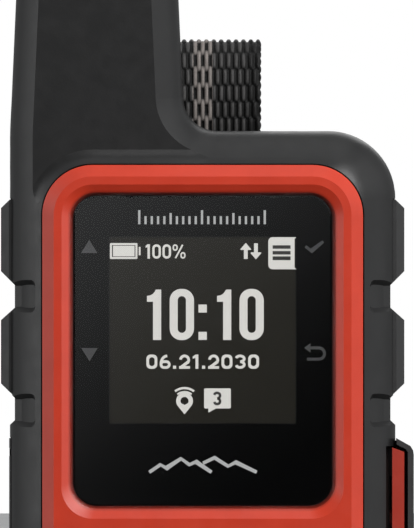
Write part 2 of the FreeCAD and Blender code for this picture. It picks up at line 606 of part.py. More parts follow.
m = Maker("lens_adhesive")
m.slab(P("lens_half_w", -1, 0.25), P("lens_half_w", 1, -0.25), P("lens_low_z", 1, 0.25), P("lens_high_z", 1, -0.25), P("lens_r", 1, -0.25), P("mask_back_y"), P("bezel_back_y"))
m.slot(-14.0, 14.0, 24.0, 54.7, 0.8, P("mask_back_y"), P("bezel_back_y", 1, 0.05))
m.slot(-6.2, 6.2, 22.5, 24.6, 0, P("mask_back_y"), P("bezel_back_y", 1, 0.05))

m = Maker("lcd_panel")
m.slab(P("lcd_half_w", -1), P("lcd_half_w"), P("lcd_low_z"), P("lcd_high_z"), 0.4, P("lcd_front_y"), P("lcd_back_y"))
m = Maker("lcd_backlight")
m.slab(P("lcd_half_w", -1, -0.2), P("lcd_half_w", 1, 0.2), P("lcd_low_z", 1, -0.2), P("lcd_high_z", 1, 0.2), 0.6, P("lcd_back_y", 1, 0.03), P("light_back_y"))

m = Maker("lcd_flex")
m.pad(m.poly(m.sketch("YZ", -5.0), [(-7.2, 24.66), (-7.2, 23.3), (-6.9, 23.0), (P("board_front_y", 1, -0.2), 23.0), (P("board_front_y", 1, -0.2), 20.5),
                                   (P("board_front_y", 1, -0.02), 20.5), (P("board_front_y", 1, -0.02), 23.18), (-6.82, 23.18), (-7.02, 23.38), (-7.02, 24.66)]), 10.0)

# --------------------------------------------------------------- inner frame
m = Maker("internal_frame")
m.slab(P("board_half_w", -1, -1.6), P("board_half_w", 1, 1.6), 30.0, 56.9, 0.5, P("frame_front_y"), P("frame_back_y"))
m.slab(P("board_half_w", -1), P("board_half_w"), 12.0, 31.0, 0.5, P("frame_front_y"), P("frame_back_y"))
m.slab(P("board_half_w", 1, -1.0), P("board_half_w", 1, 1.6), 12.6, 31.0, 0.3, P("frame_front_y"), P("frame_back_y"))
m.slab(P("board_half_w", -1, -1.6), P("board_half_w", -1, -0.8), 30.0, 56.9, 0.3, P("frame_front_y"), 2.6)
m.slab(P("board_half_w", 1, 0.8), P("board_half_w", 1, 1.6), 12.6, 56.9, 0.3, P("frame_front_y"), 2.6)
SPOTS = [(-11.5, 15.2), (15.5, 15.2), (-15.5, 53.2), (15.5, 53.2)]
for sx_, sz_ in SPOTS:
    m.pad(m.circle(m.sketch("XZ", P("board_front_y")), sx_, sz_, 1.8), None, P("board_front_y"), P("frame_back_y", 1, -0.2))
m.slot(-6.6, 6.6, 19.8, 24.2, 0.3, P("frame_front_y", 1, -0.1), P("frame_back_y", 1, 0.1))
m.slot(-9.0, 9.0, 30.0, 46.0, 1.5, P("frame_front_y", 1, -0.1), P("frame_back_y", 1, 0.1))
for sx_, sz_ in SPOTS:
    m.pocket(m.circle(m.sketch("XZ", P("frame_front_y", 1, -0.1)), sx_, sz_, 1.0), 2.0)

m = Maker("main_board")
m.slab(P("board_half_w", -1), P("board_half_w"), P("board_low_z"), P("board_high_z"), 1.0, P("board_front_y"), P("board_back_y"))
m.slab(3.0, 12.6, P("board_high_z", 1, -1.0), 60.7, 0.5, P("board_front_y"), P("board_back_y"))
for sx_, sz_ in SPOTS:
    m.pocket(m.circle(m.sketch("XZ", P("board_front_y", 1, -0.1)), sx_, sz_, 1.0), 1.4)
YB = P("board_back_y")
can_a = cut("can_a", box("can_a_out", -13.6, -1.6, YB, P("board_back_y", 1, 1.5), 35.5, 51.0, keep=False),
            [box("can_a_in", -13.4, -1.8, P("board_back_y", 1, -0.1), P("board_back_y", 1, 1.3), 35.7, 50.8, keep=False)], keep=False)
can_b = cut("can_b", box("can_b_out", 1.6, 13.6, YB, P("board_back_y", 1, 1.5), 24.0, 38.0, keep=False),
            [box("can_b_in", 1.8, 13.4, P("board_back_y", 1, -0.1), P("board_back_y", 1, 1.3), 24.2, 37.8, keep=False)], keep=False)
group("shield_cans", [can_a, can_b])
box("satellite_modem", -12.0, -3.5, YB, P("board_back_y", 1, 1.0), 38.5, 47.5)
box("processor_chip", 3.5, 11.5, YB, P("board_back_y", 1, 0.9), 27.0, 35.0)
box("battery_connector", 8.5, 13.0, YB, P("board_back_y", 1, 2.4), 46.5, 49.3)
cyl("buzzer", 4.2, 2.2, -5.5, YB, 28.0, "Y")
shanks = [cyl("bs_shank_%d" % k, 0.97, 2.5, a, P("frame_front_y"), b, "Y", keep=False) for k, (a, b) in enumerate(SPOTS)]
heads = [cyl("bs_head_%d" % k, 1.7, 1.0, a, YB, b, "Y", keep=False) for k, (a, b) in enumerate(SPOTS)]
screws = []
for k in range(4):
    f = doc.addObject("Part::MultiFuse", "Fuse_bs_%d" % k)
    f.Shapes = [shanks[k], heads[k]]
    screws.append(f)
group("board_screws", screws)

# ------------------------------------------------------------ battery, leads
m = Maker("battery_pack")
m.slab(P("battery_half_w", -1), P("battery_half_w"), P("battery_low_z"), P("battery_high_z"), 1.6, P("battery_front_y"), P("battery_back_y"))
m.fillet(lambda p: near(p.y, D["battery_front_y"]) or near(p.y, D["battery_back_y"]), 0.8)
box("battery_pad", -9.0, 9.0, P("battery_back_y"), P("rear_inner_y"), 11.5, 30.0)


def tube(points, r, t_in=None, t_out=None):
    sp = Part.BSplineCurve()
    if t_in is None:
        sp.interpolate([V(*p) for p in points])
    else:
        sp.interpolate([V(*p) for p in points], InitialTangent=V(*t_in), FinalTangent=V(*t_out))
    w = Part.Wire([sp.toShape()])
    t0 = sp.tangent(sp.FirstParameter)[0]
    c = Part.Wire([Part.Circle(V(*points[0]), t0, r).toShape()])
    return w.makePipeShell([c], True, True)


lead_a = tube([(10.0, 2.25, 45.53), (9.95, 1.75, 47.15), (9.9, 0.03, 48.1)], D["lead_r"], (0, 0, 2.2), (0, -2.2, 0))
lead_b = tube([(11.7, 2.25, 45.53), (11.7, 1.75, 47.15), (11.7, 0.03, 48.1)], D["lead_r"], (0, 0, 2.2), (0, -2.2, 0))
shape("battery_leads", Part.makeCompound([lead_a, lead_b]))

# ------------------------------------------------------------------ antennas
AX, AY = D["antenna_axis_x"], D["antenna_axis_y"]
FL, FH, FR = D["former_low_z"], D["former_high_z"], D["former_r"]
former = cut("satellite_antenna", cyl("former_out", P("former_r"), FH - FL, P("antenna_axis_x"), P("antenna_axis_y"), P("former_low_z"), keep=False),
             [cyl("former_in", P("former_r", 1, -0.9), FH - FL + 2, P("antenna_axis_x"), P("antenna_axis_y"), P("former_low_z", 1, -1), keep=False)])
arms = []
for k in range(4):
    a0 = 90 * k + 20
    ring = Part.makeCylinder(FR + 0.15, FH - FL - 2, V(AX, AY, FL + 1), V(0, 0, 1), 16)
    ring = ring.cut(Part.makeCylinder(FR, FH - FL, V(AX, AY, FL)))
    ring.rotate(V(AX, AY, 0), V(0, 0, 1), a0)
    arms.append(ring)
shape("antenna_arms", Part.makeCompound(arms))
cyl("antenna_feed_board", P("former_r"), 1.0, P("antenna_axis_x"), P("antenna_axis_y"), P("former_low_z", 1, -1.0))
shape("antenna_coax", tube([(AX, AY, FL - 1.02), (AX + 0.2, AY - 0.1, 63.5), (-11.5, 0.6, 58.5), (-9.5, -0.2, 55.2), (-9.0, -0.9, 53.6), (-9.0, -2.38, 53.0)], D["coax_r"]))
m = Maker("antenna_bracket")
m.slab(1.0, 16.0, 46.6, 60.9, 0.8, 3.2, 4.0)
m.slab(1.0, 2.0, 50.0, 54.0, 0, -2.38, 3.3)
m.slab(14.8, 15.8, 55.0, 55.9, 0, -2.38, 3.3)
box("gps_antenna", 2.0, 15.0, 4.0, 8.0, 47.2, 60.2)

# --------------------------------------------------------- keys and switches
def key(label, sx, z0, z1, z0s, z1s, top_at_side):
    """a key cap on side sx: base z0..z1, flat face z0s..z1s"""
    m = Maker(label)
    face, tail = P("key_face_x", sx), P("key_tail_x", sx)
    floor_ = P("notch_floor_x", sx)
    top = P("half_width", sx) if top_at_side else floor_
    m.pad(m.poly(m.sketch("XZ", P("key_rear_y")), [(tail, z0), (floor_, z0), (face, z0s), (face, z1s), (top, z1), (tail, z1)]),
          None, P("key_rear_y"), P("key_front_y"))
    m.chamfer(lambda p: near(p.y, D["key_front_y"]) and near(abs(p.x), D["key_face_x"]), P("key_chamfer"))
    m.chamfer(lambda p: near(p.y, D["key_rear_y"]) and near(abs(p.x), D["key_face_x"]), 0.6)
    if sx > 0:
        m.pad(m.rrect(m.sketch("YZ", P("flange_in_x")), -2.6, P("key_rear_y"), z0 - 0.7, z1 + 0.7, 0), None, P("flange_out_x"), P("flange_in_x"))
        m.pad(m.circle(m.sketch("YZ", P("nub_tip_x")), -1.0, (z0 + z1) / 2, P("nub_r")), None, P("flange_in_x", 1, 0.1), P("nub_tip_x"))
    else:
        m.pad(m.rrect(m.sketch("YZ", P("flange_out_x", -1)), -2.6, P("key_rear_y"), z0 - 0.7, z1 + 0.7, 0), None, P("flange_out_x"), P("flange_in_x"))
        m.pad(m.circle(m.sketch("YZ", P("flange_in_x", -1, -0.1)), -1.0, (z0 + z1) / 2, P("nub_r")), None, P("flange_in_x", 1, 0.1), P("nub_tip_x"))
    return m


key("up_button", -1, 45.95, 56.7, 47.7, 55.62, True)
key("down_button", -1, 31.92, 43.12, 33.6, 41.55, False)
key("ok_button", 1, 45.95, 56.7, 47.7, 55.62, True)
key("back_button", 1, 31.92, 43.12, 33.6, 41.55, False)
box("key_flex_left", P("board_half_w", -1, -1.8), P("board_half_w", -1, -1.6), -3.6, 1.6, 34.0, 55.0)
box("key_flex_right", P("board_half_w", 1, 1.6), P("board_half_w", 1, 1.8), -3.6, 1.6, 13.5, 55.0)
KM = [(45.95 + 56.7) / 2, (31.92 + 43.12) / 2]
group("key_switches_left", [cyl("dome_l%d" % k, 1.7, 0.3, P("board_half_w", -1, -2.1), -1.0, z, "X", keep=False) for k, z in enumerate(KM)])
group("key_switches_right", [cyl("dome_r%d" % k, 1.7, 0.3, P("board_half_w", 1, 1.8), -1.0, z, "X", keep=False) for k, z in enumerate(KM)])

m = Maker("power_button")
m.pad(m.rrect(m.sketch("XY", 62.9), 3.2, 12.4, -2.5, 1.5, 1.95), None, P("shoulder_z"), 62.9)
m.fillet(lambda p: near(p.z, D["shoulder_z"]), 0.2)
m.pad(m.rrect(m.sketch("XY", 62.5), 2.4, 13.2, -3.2, 2.2, 1.0), 0.7)
m.pad(m.circle(m.sketch("XY", 61.4), 7.8, -1.0, 1.1), 1.2)
box("power_switch", 5.8, 9.8, YB, 0.5, 57.6, 60.9)
cyl("status_light_pipe", 0.8, 6.2, 15.0, -0.5, P("shoulder_z", 1, -6.2))

# ------------------------------------------------------------- distress key
PYA, PYB = P("plinth_front_y"), P("plinth_rear_y")
m = Maker("sos_surround")
m.pad(m.poly(m.sketch("XZ", PYB), [(P("plinth_floor_x"), 5.8), (24.7, 5.8), (P("plinth_face_x"), 6.6), (P("plinth_face_x"), 25.02), (23.75, 25.58), (P("plinth_floor_x"), 25.58)]),
      None, PYB, PYA)
# raised rear lip that closes the gap under the cover
m.pad(m.poly(m.sketch("XZ", PYB), [(24.4, 9.0), (25.66, 9.0), (25.66, 24.75), (25.4, 25.1), (24.4, 25.65)]), 0.7)
m.pocket(m.poly(m.sketch("XZ", P("plinth_front_y", 1, -0.2)), [(22.5, 9.2), (23.78, 9.2), (23.78, 26.0), (22.5, 26.0)]), 2.2)
for ya, yb in ((PYA, P("plinth_front_y", 1, 1.2)), (P("plinth_rear_y", 1, -1.2), PYB)):
    m.pad(m.circle(m.sketch("XZ", yb), P("sos_pin_x"), P("sos_pin_z"), 0.85), None, yb, ya)
m.pocket(m.circle(m.sketch("XZ", P("plinth_front_y", 1, 1.2)), P("sos_pin_x"), P("sos_pin_z"), 1.0), None, P("plinth_rear_y", 1, -1.2), P("plinth_front_y", 1, 1.2))
m.pocket(m.circle(m.sketch("XZ", P("plinth_front_y", 1, -0.2)), P("sos_pin_x"), P("sos_pin_z"), P("sos_pin_r", 1, 0.01)), 7.5)
m.pocket(m.rrect(m.sketch("YZ", 23.5), -3.3, 0.3, 10.4, 22.6, 1.75), 2.5, flip=True)
m.pocket(m.circle(m.sketch("YZ", 22.5), -1.5, 16.5, 1.35), 2.0, flip=True)

m = Maker("sos_button")
m.pad(m.rrect(m.sketch("YZ", 23.95), -3.15, 0.15, 10.55, 22.45, 1.6), 1.25)
m.fillet(lambda p: near(p.x, 25.2), 0.3)
m.pad(m.circle(m.sketch("YZ", P("nub_tip_x")), -1.5, 16.5, 1.25), None, 24.0, P("nub_tip_x"))
cyl("sos_switch", 1.7, 0.3, P("board_half_w", 1, 1.8), -1.5, 16.5, "X")
cyl("sos_hinge_pin", P("sos_pin_r"), 6.9, P("sos_pin_x"), P("plinth_front_y"), P("sos_pin_z"), "Y")

m = Maker("sos_cover")
FX = P("cover_face_x")
IX = P("cover_face_x", 1, -D["cover_skin"])
m.pad(m.poly(m.sketch("XZ", 2.2), [(24.36, 25.95), (25.5, 25.38), (IX, 24.98), (IX, 8.6), (FX, 8.6), (FX, 24.7), (26.42, 25.2), (26.12, 25.72), (24.36, 26.7)]),
      None, 2.2, PYA)
m.pad(m.poly(m.sketch("XZ", P("plinth_rear_y", 1, -1.35)), [(IX, 7.3), (FX, 7.3), (FX, 8.8), (IX, 8.8)]), None, P("plinth_rear_y", 1, -1.35), P("plinth_front_y", 1, 1.35))
m.pad(m.circle(m.sketch("XZ", P("plinth_rear_y", 1, -1.35)), P("sos_pin_x"), P("sos_pin_z"), 0.9), None, P("plinth_rear_y", 1, -1.35), P("plinth_front_y", 1, 1.35))
m.pocket(m.circle(m.sketch("XZ", P("plinth_front_y", 1, -0.2)), P("sos_pin_x"), P("sos_pin_z"), P("sos_pin_r", 1, 0.06)), 7.5)

# ------------------------------------------------------------- charging port
m = Maker("usb_socket")
m.pad(m.rrect(m.sketch("YZ", -21.9), P("usb_mid_y", 1, -1.6), P("usb_mid_y", 1, 1.6), P("usb_mid_z", 1, -4.47), P("usb_mid_z", 1, 4.47), 1.5), 7.3)
m.pocket(m.rrect(m.sketch("YZ", -22.0), P("usb_mid_y", 1, -1.28), P("usb_mid_y", 1, 1.28), P("usb_mid_z", 1, -4.17), P("usb_mid_z", 1, 4.17), 1.2), 6.3, flip=True)
m.pad(m.rrect(m.sketch("YZ", -21.4), P("usb_mid_y", 1, -0.35), P("usb_mid_y", 1, 0.35), P("usb_mid_z", 1, -3.35), P("usb_mid_z", 1, 3.35), 0), 6.0)
cyl("usb_hinge_pin", P("usb_pin_r", 1, -0.01), 7.6, P("usb_pin_x"), -4.6, P("usb_pin_z"), "Y")
flap = body(0).common(bx(-30, -23.15, -3.9, 2.3, UZ, 26.7))
flap.translate(V(-0.1, 0, 0))
flap = flap.fuse(rod(1.4, (UX, -3.9, UZ), (0, 1, 0), 6.2).common(bx(-24.3, -20, -5, 4, 0, 20)))
plug = Part.makeBox(1.1, 2.4, 8.2, V(-23.4, UY - 1.2, UM - 4.1))
plug = plug.makeFillet(1.15, [e for e in plug.Edges if near(e.Vertexes[0].Y, e.Vertexes[-1].Y) and near(e.Vertexes[0].Z, e.Vertexes[-1].Z)])
flap = flap.fuse(plug).cut(rod(D["usb_pin_r"] + 0.05, (UX, -5, UZ), (0, 1, 0), 9))
# finger lip at the free end of the cover
flap = flap.cut(rod(0.7, (-24.75, -5, 25.0), (0, 1, 0), 5.2))
shape("usb_cover", flap.removeSplitter())

# ----------------------------------------------------------- case fasteners
items = []
for (x, z), yh in zip(BOSSES, SCREW_SEAT):
    s = rod(D["screw_head_r"], (x, yh, z), (0, 1, 0), 1.4).fuse(rod(D["screw_shank_r"], (x, -2.6, z), (0, 1, 0), yh + 2.6))
    for a in range(3):
        k = bx(x - 1.0, x + 1.0, yh + 0.7, yh + 2, z - 0.22, z + 0.22)
        k.rotate(V(x, 0, z), V(0, 1, 0), 60 * a)
        s = s.cut(k)
    items.append(s)
shape("housing_screws", Part.makeCompound(items))
cyl("vent_membrane", 2.4, 0.3, 13.0, P("rear_inner_y", 1, -0.3), 20.0, "Y")

# ---------------------------------------------------------------- rear mount
cut("threaded_insert", cyl("insert_out", P("insert_r"), 6.3, 0, 9.0, P("screw_z"), "Y", keep=False),
    [cyl("insert_in", P("insert_bore_r"), 7.0, 0, 9.3, P("screw_z"), "Y", keep=False)])

m = Maker("spine_adapter")
m.slab(P("adapter_half_w", -1), P("adapter_half_w"), P("adapter_low_z"), P("adapter_high_z"), 3.0, P("adapter_front_y"), P("adapter_rear_y"))
m.chamfer(lambda p: near(p.y, D["adapter_rear_y"]), 1.1)
for sx in (-1, 1):
    xa, xb = (P("bar_half_len", sx, -sx * 2.9), P("bar_half_len", sx, sx * 0.1))
    lo, hi = (xb, xa) if sx < 0 else (xa, xb)
    m.pad(m.circle(m.sketch("YZ", lo), P("bar_y"), P("bar_z"), 2.4), None, hi, lo)
    m.pad(m.poly(m.sketch("YZ", lo), [(13.5, 50.0), (18.3, 50.0), (18.3, P("bar_z")), (13.5, P("bar_z"))]), None, hi, lo)
    m.pocket(m.circle(m.sketch("YZ", lo), P("bar_y"), P("bar_z"), P("bar_r", 1, 0.01)), None, hi, lo, flip=True)
m.slot(P("spine_half_w", -1, -0.15), P("spine_half_w", 1, 0.15), 20.0, 70.0, 0, P("adapter_front_y", 1, -0.5), P("spine_y", 1, 0.15))
m.pocket(m.circle(m.sketch("XZ", P("adapter_front_y")), 0, P("screw_z"), 2.4), 8.0)
# waisted finger grips on both flanks and a lightening window below the screw
m.pocket(m.rrect(m.sketch("XZ", P("adapter_front_y", 1, -0.5)), -6.0, 6.0, 25.8, 28.0, 1.0), 8.0)
cyl("strap_bar", P("bar_r"), P("bar_half_len", 2), P("bar_half_len", -1), P("bar_y"), P("bar_z"), "X")

# webbing loop round the bar: closed band, inner and outer faces one thickness apart
BY, BZ, TH = D["bar_y"], D["bar_z"], D["strap_thick"]
TOPC = D["strap_top_z"] - TH / 2
half = [(D["bar_r"] + 0.1 + TH / 2, BZ), (2.15, 61.4), (2.95, 64.5), (3.6, 68.0), (3.7, 71.0), (3.05, 74.3), (1.7, TOPC - 0.5), (0.0, TOPC)]


def strap_curve(shift):
    """right and left rows of the band's centre line moved out by shift"""
    pts = []
    sp = Part.BSplineCurve()
    sp.interpolate([V(0, p[0], p[1]) for p in half], InitialTangent=V(0, 0, 1), FinalTangent=V(0, -1, 0))
    n = 26
    for k in range(n + 1):
        t = sp.FirstParameter + (sp.LastParameter - sp.FirstParameter) * k / n
        q = sp.value(t)
        tg = sp.tangent(t)[0]
        pts.append((q.y + tg.z * shift, q.z - tg.y * shift))
    return pts


def strap_wire(shift, x):
    row = strap_curve(shift)
    up = [V(x, BY + a, b) for a, b in row]
    down = [V(x, BY - a, b) for a, b in reversed(row)][1:]
    sp = Part.BSplineCurve()
    sp.interpolate(up + down, InitialTangent=V(0, 0, 1), FinalTangent=V(0, 0, -1))
    r = row[0][0]
    arc = Part.Arc(V(x, BY - r, BZ), V(x, BY, BZ - r), V(x, BY + r, BZ))
    return Part.Wire([sp.toShape(), arc.toShape()])


SWD = D["strap_half_w"]
band = Part.Face(strap_wire(TH / 2, -SWD)).extrude(V(2 * SWD, 0, 0)).cut(Part.Face(strap_wire(-TH / 2, -SWD - 1)).extrude(V(2 * SWD + 2, 0, 0)))
shape("webbing_strap", band)

m = Maker("adapter_screw")
HY = 18.6
m.pad(m.circle(m.sketch("XZ", HY + 2.2), 0, P("screw_z"), P("head_r")), 2.2)
m.chamfer(lambda p: near(p.y, HY + 2.2), 0.35)
m.pad(m.circle(m.sketch("XZ", HY), 0, P("screw_z"), P("shank_r")), HY - 9.6)
m.slot(-0.7, 0.7, P("screw_z", 1, -6.0), P("screw_z", 1, 6.0), 0, HY + 1.2, HY + 3.0)
m.pocket(m.circle(m.sketch("YZ", -5.0), HY + 1.1, P("screw_z"), P("ring_wire_r", 1, 0.05)), 2.0, flip=True)
m.pocket(m.circle(m.sketch("YZ", 3.0), HY + 1.1, P("screw_z"), P("ring_wire_r", 1, 0.05)), 2.0, flip=True)

RY, RR = HY + 1.1, D["ring_r"]
q = 0.75
path = Part.Wire([
    Part.LineSegment(V(-3.15, RY, SZ), V(-RR + q, RY, SZ)).toShape(),
    Part.Arc(V(-RR + q, RY, SZ), V(-RR + q * (1 - math.sin(math.pi / 4)), RY, SZ - q * (1 - math.cos(math.pi / 4))), V(-RR, RY, SZ - q)).toShape(),
    Part.LineSegment(V(-RR, RY, SZ - q), V(-RR, RY, SZ - 2.4)).toShape(),
    Part.Arc(V(-RR, RY, SZ - 2.4), V(0, RY, SZ - 2.4 - RR), V(RR, RY, SZ - 2.4)).toShape(),
    Part.LineSegment(V(RR, RY, SZ - 2.4), V(RR, RY, SZ - q)).toShape(),
    Part.Arc(V(RR, RY, SZ - q), V(RR - q * (1 - math.sin(math.pi / 4)), RY, SZ - q * (1 - math.cos(math.pi / 4))), V(RR - q, RY, SZ)).toShape(),
    Part.LineSegment(V(RR - q, RY, SZ), V(3.15, RY, SZ)).toShape()])
ring = path.makePipeShell([Part.Wire([Part.Circle(V(-3.15, RY, SZ), V(1, 0, 0), D["ring_wire_r"]).toShape()])], True, True)
shape("screw_ring", ring)

# -------------------------------------------------------------- check, write
doc.recompute()
bad = [o.Name for o in doc.Objects if "Invalid" in o.State or "Error" in o.State]
if bad:
    raise RuntimeError("objects in error: %s" % bad)
labels = [o.Label for o in NODES]
if len(set(labels)) != len(labels):
    raise RuntimeError("a node name is used twice")
os.makedirs("parts", exist_ok=True)
for name in os.listdir("parts"):
    if name.endswith(".step") and name[:-5] not in labels:
        os.remove(os.path.join("parts", name))
for o in NODES:
    s = o.Shape
    if s.isNull() or not s.isValid() or not s.Solids:
        raise RuntimeError("shape of %s is not valid" % o.Label)
    s.exportStep("parts/%s.step" % o.Label)
print("%d nodes written" % len(NODES))
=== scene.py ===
import math

import bmesh
import bpy
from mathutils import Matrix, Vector


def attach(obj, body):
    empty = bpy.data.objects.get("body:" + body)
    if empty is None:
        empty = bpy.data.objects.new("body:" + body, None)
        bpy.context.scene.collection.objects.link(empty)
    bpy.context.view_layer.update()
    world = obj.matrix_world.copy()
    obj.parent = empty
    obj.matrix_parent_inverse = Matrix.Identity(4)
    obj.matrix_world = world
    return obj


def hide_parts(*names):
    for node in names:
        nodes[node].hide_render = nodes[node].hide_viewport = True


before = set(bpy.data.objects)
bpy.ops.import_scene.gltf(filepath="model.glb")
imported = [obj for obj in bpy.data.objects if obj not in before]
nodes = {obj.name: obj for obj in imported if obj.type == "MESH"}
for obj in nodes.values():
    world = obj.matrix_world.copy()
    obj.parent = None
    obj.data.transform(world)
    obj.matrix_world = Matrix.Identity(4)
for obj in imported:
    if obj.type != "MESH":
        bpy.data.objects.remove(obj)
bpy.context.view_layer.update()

MM = 0.001
scene = bpy.context.scene

# ------------------------------------------------------------------ camera
cam_data = bpy.data.cameras.new("camera")
cam_data.type = "PERSP"
cam_data.sensor_fit = "AUTO"
cam_data.sensor_width = 36.0
DIST = 2.0
VIEW_H = 528 / 7.95 * MM          # height seen at the keys' depth
cam_data.lens = 36.0 * DIST / VIEW_H
cam_data.clip_start = 0.05
cam_data.clip_end = 60.0
cam = bpy.data.objects.new("camera", cam_data)
scene.collection.objects.link(cam)
cam.location = (0.55 * MM, -DIST, 48.6 * MM)
cam.rotation_euler = (math.radians(90), 0, 0)
scene.camera = cam
scene.view_settings.view_transform = "Standard"
scene.view_settings.look = "None"
scene.view_settings.exposure = 0.0
scene.view_settings.gamma = 1.0

# ------------------------------------------------------------------- world
world = bpy.data.worlds.new("studio")
scene.world = world
world.use_nodes = True
wt = world.node_tree
wt.nodes.clear()
w_out = wt.nodes.new("ShaderNodeOutputWorld")
w_mix = wt.nodes.new("ShaderNodeMixShader")
w_amb = wt.nodes.new("ShaderNodeBackground")
w_white = wt.nodes.new("ShaderNodeBackground")
w_path = wt.nodes.new("ShaderNodeLightPath")
w_white.inputs["Color"].default_value = (1, 1, 1, 1)
w_white.inputs["Strength"].default_value = 1.0
# soft surround: brightest at the sides and above, dim behind the camera
w_co = wt.nodes.new("ShaderNodeTexCoord")
w_sep = wt.nodes.new("ShaderNodeSeparateXYZ")
wt.links.new(w_co.outputs["Generated"], w_sep.inputs[0])
w_in = wt.nodes.new("ShaderNodeMapRange")
w_in.inputs["From Min"].default_value = -1.0
w_in.inputs["From Max"].default_value = 1.0
wt.links.new(w_sep.outputs["Y"], w_in.inputs["Value"])
w_ramp = wt.nodes.new("ShaderNodeValToRGB")
w_el = w_ramp.color_ramp.elements
AMB = [(0.0, 0.07), (0.12, 0.11), (0.30, 0.40), (0.46, 1.35), (0.56, 1.05), (0.66, 0.50), (1.0, 0.25)]
while len(w_el) < len(AMB):
    w_el.new(0.5)
for e_, (pos_, val_) in zip(w_el, AMB):
    e_.position = pos_
    e_.color = (val_ * 0.985, val_, val_ * 1.01, 1.0)
wt.links.new(w_in.outputs["Result"], w_ramp.inputs["Fac"])
w_side = wt.nodes.new("ShaderNodeMapRange")
w_side.inputs["From Min"].default_value = -1.0
w_side.inputs["From Max"].default_value = 1.0
w_side.inputs["To Min"].default_value = 1.05
w_side.inputs["To Max"].default_value = 1.0
w_lin = wt.nodes.new("ShaderNodeMapRange")
w_lin.inputs["From Min"].default_value = -1.0
w_lin.inputs["From Max"].default_value = 1.0
wt.links.new(w_sep.outputs["Z"], w_lin.inputs["Value"])
w_low = wt.nodes.new("ShaderNodeValToRGB")
w_el = w_low.color_ramp.elements
TALL = [(0.0, 0.20), (0.25, 0.22), (0.56, 0.92), (0.70, 0.95), (0.85, 0.70), (1.0, 0.42)]
while len(w_el) < len(TALL):
    w_el.new(0.5)
for e_, (pos_, val_) in zip(w_el, TALL):
    e_.position = pos_
    e_.color = (val_, val_, val_, 1.0)
wt.links.new(w_lin.outputs["Result"], w_low.inputs["Fac"])
w_mul = wt.nodes.new("ShaderNodeMath")
w_mul.operation = "MULTIPLY"
wt.links.new(w_side.outputs["Result"], w_mul.inputs[0])
wt.links.new(w_low.outputs["Color"], w_mul.inputs[1])
wt.links.new(w_sep.outputs["X"], w_side.inputs["Value"])
wt.links.new(w_ramp.outputs["Color"], w_amb.inputs["Color"])
wt.links.new(w_mul.outputs[0], w_amb.inputs["Strength"])
wt.links.new(w_path.outputs["Is Camera Ray"], w_mix.inputs["Fac"])
wt.links.new(w_amb.outputs[0], w_mix.inputs[1])
wt.links.new(w_white.outputs[0], w_mix.inputs[2])
wt.links.new(w_mix.outputs[0], w_out.inputs["Surface"])


def area(name, loc, target, size, power, color=(1, 1, 1), size_y=None):
    d = bpy.data.lights.new(name, "AREA")
    d.shape = "RECTANGLE"
    d.size = size
    d.size_y = size_y or size
    d.energy = power
    d.color = color
    o = bpy.data.objects.new(name, d)
    scene.collection.objects.link(o)
    o.location = loc
    o.rotation_euler = (Vector(target) - Vector(loc)).to_track_quat("-Z", "Y").to_euler()
    o.visible_camera = False
    return o


AIM = (0.0, 0.0, 0.048)
area("key_light", (0.33, -0.52, 0.44), AIM, 0.44, 4.8)
area("right_light", (0.44, -0.46, 0.14), AIM, 0.34, 1.3)
area("left_light", (-0.56, -0.24, 0.14), AIM, 0.34, 0.85)
area("top_rim", (0.0, 0.02, 0.66), AIM, 0.50, 0.45)
area("back_light", (0.10, 0.62, 0.40), AIM, 0.40, 0.7)


# --------------------------------------------------------------- materials
def new_mat(name):
    m = bpy.data.materials.new(name)
    m.use_nodes = True
    t = m.node_tree
    t.nodes.clear()
    out = t.nodes.new("ShaderNodeOutputMaterial")
    p = t.nodes.new("ShaderNodeBsdfPrincipled")
    t.links.new(p.outputs[0], out.inputs["Surface"])
    return m, t, p


def coords(t, scale=(1, 1, 1)):
    c = t.nodes.new("ShaderNodeTexCoord")
    if scale == (1, 1, 1):
        return c.outputs["Object"]
    mp = t.nodes.new("ShaderNodeMapping")
    mp.inputs["Scale"].default_value = scale
    t.links.new(c.outputs["Object"], mp.inputs["Vector"])
    return mp.outputs["Vector"]


def noise(t, vec, scale, detail=2.0, rough=0.5):
    n = t.nodes.new("ShaderNodeTexNoise")
    n.inputs["Scale"].default_value = scale
    n.inputs["Detail"].default_value = detail
    n.inputs["Roughness"].default_value = rough
    t.links.new(vec, n.inputs["Vector"])
    return n.outputs["Fac"]


def ramp(t, fac, stops):
    r = t.nodes.new("ShaderNodeValToRGB")
    el = r.color_ramp.elements
    while len(el) < len(stops):
        el.new(0.5)
    for e, (pos, col) in zip(el, stops):
        e.position = pos
        e.color = (*col, 1.0) if len(col) == 3 else col
    t.links.new(fac, r.inputs["Fac"])
    return r.outputs["Color"]


def maprange(t, fac, a, b, c, d):
    n = t.nodes.new("ShaderNodeMapRange")
    n.inputs["From Min"].default_value = a
    n.inputs["From Max"].default_value = b
    n.inputs["To Min"].default_value = c
    n.inputs["To Max"].default_value = d
    t.links.new(fac, n.inputs["Value"])
    return n.outputs["Result"]


def bump(t, height, strength, dist, normal=None):
    b = t.nodes.new("ShaderNodeBump")
    b.inputs["Strength"].default_value = strength
    b.inputs["Distance"].default_value = dist
    t.links.new(height, b.inputs["Height"])
    if normal is not None:
        t.links.new(normal, b.inputs["Normal"])
    return b.outputs["Normal"]


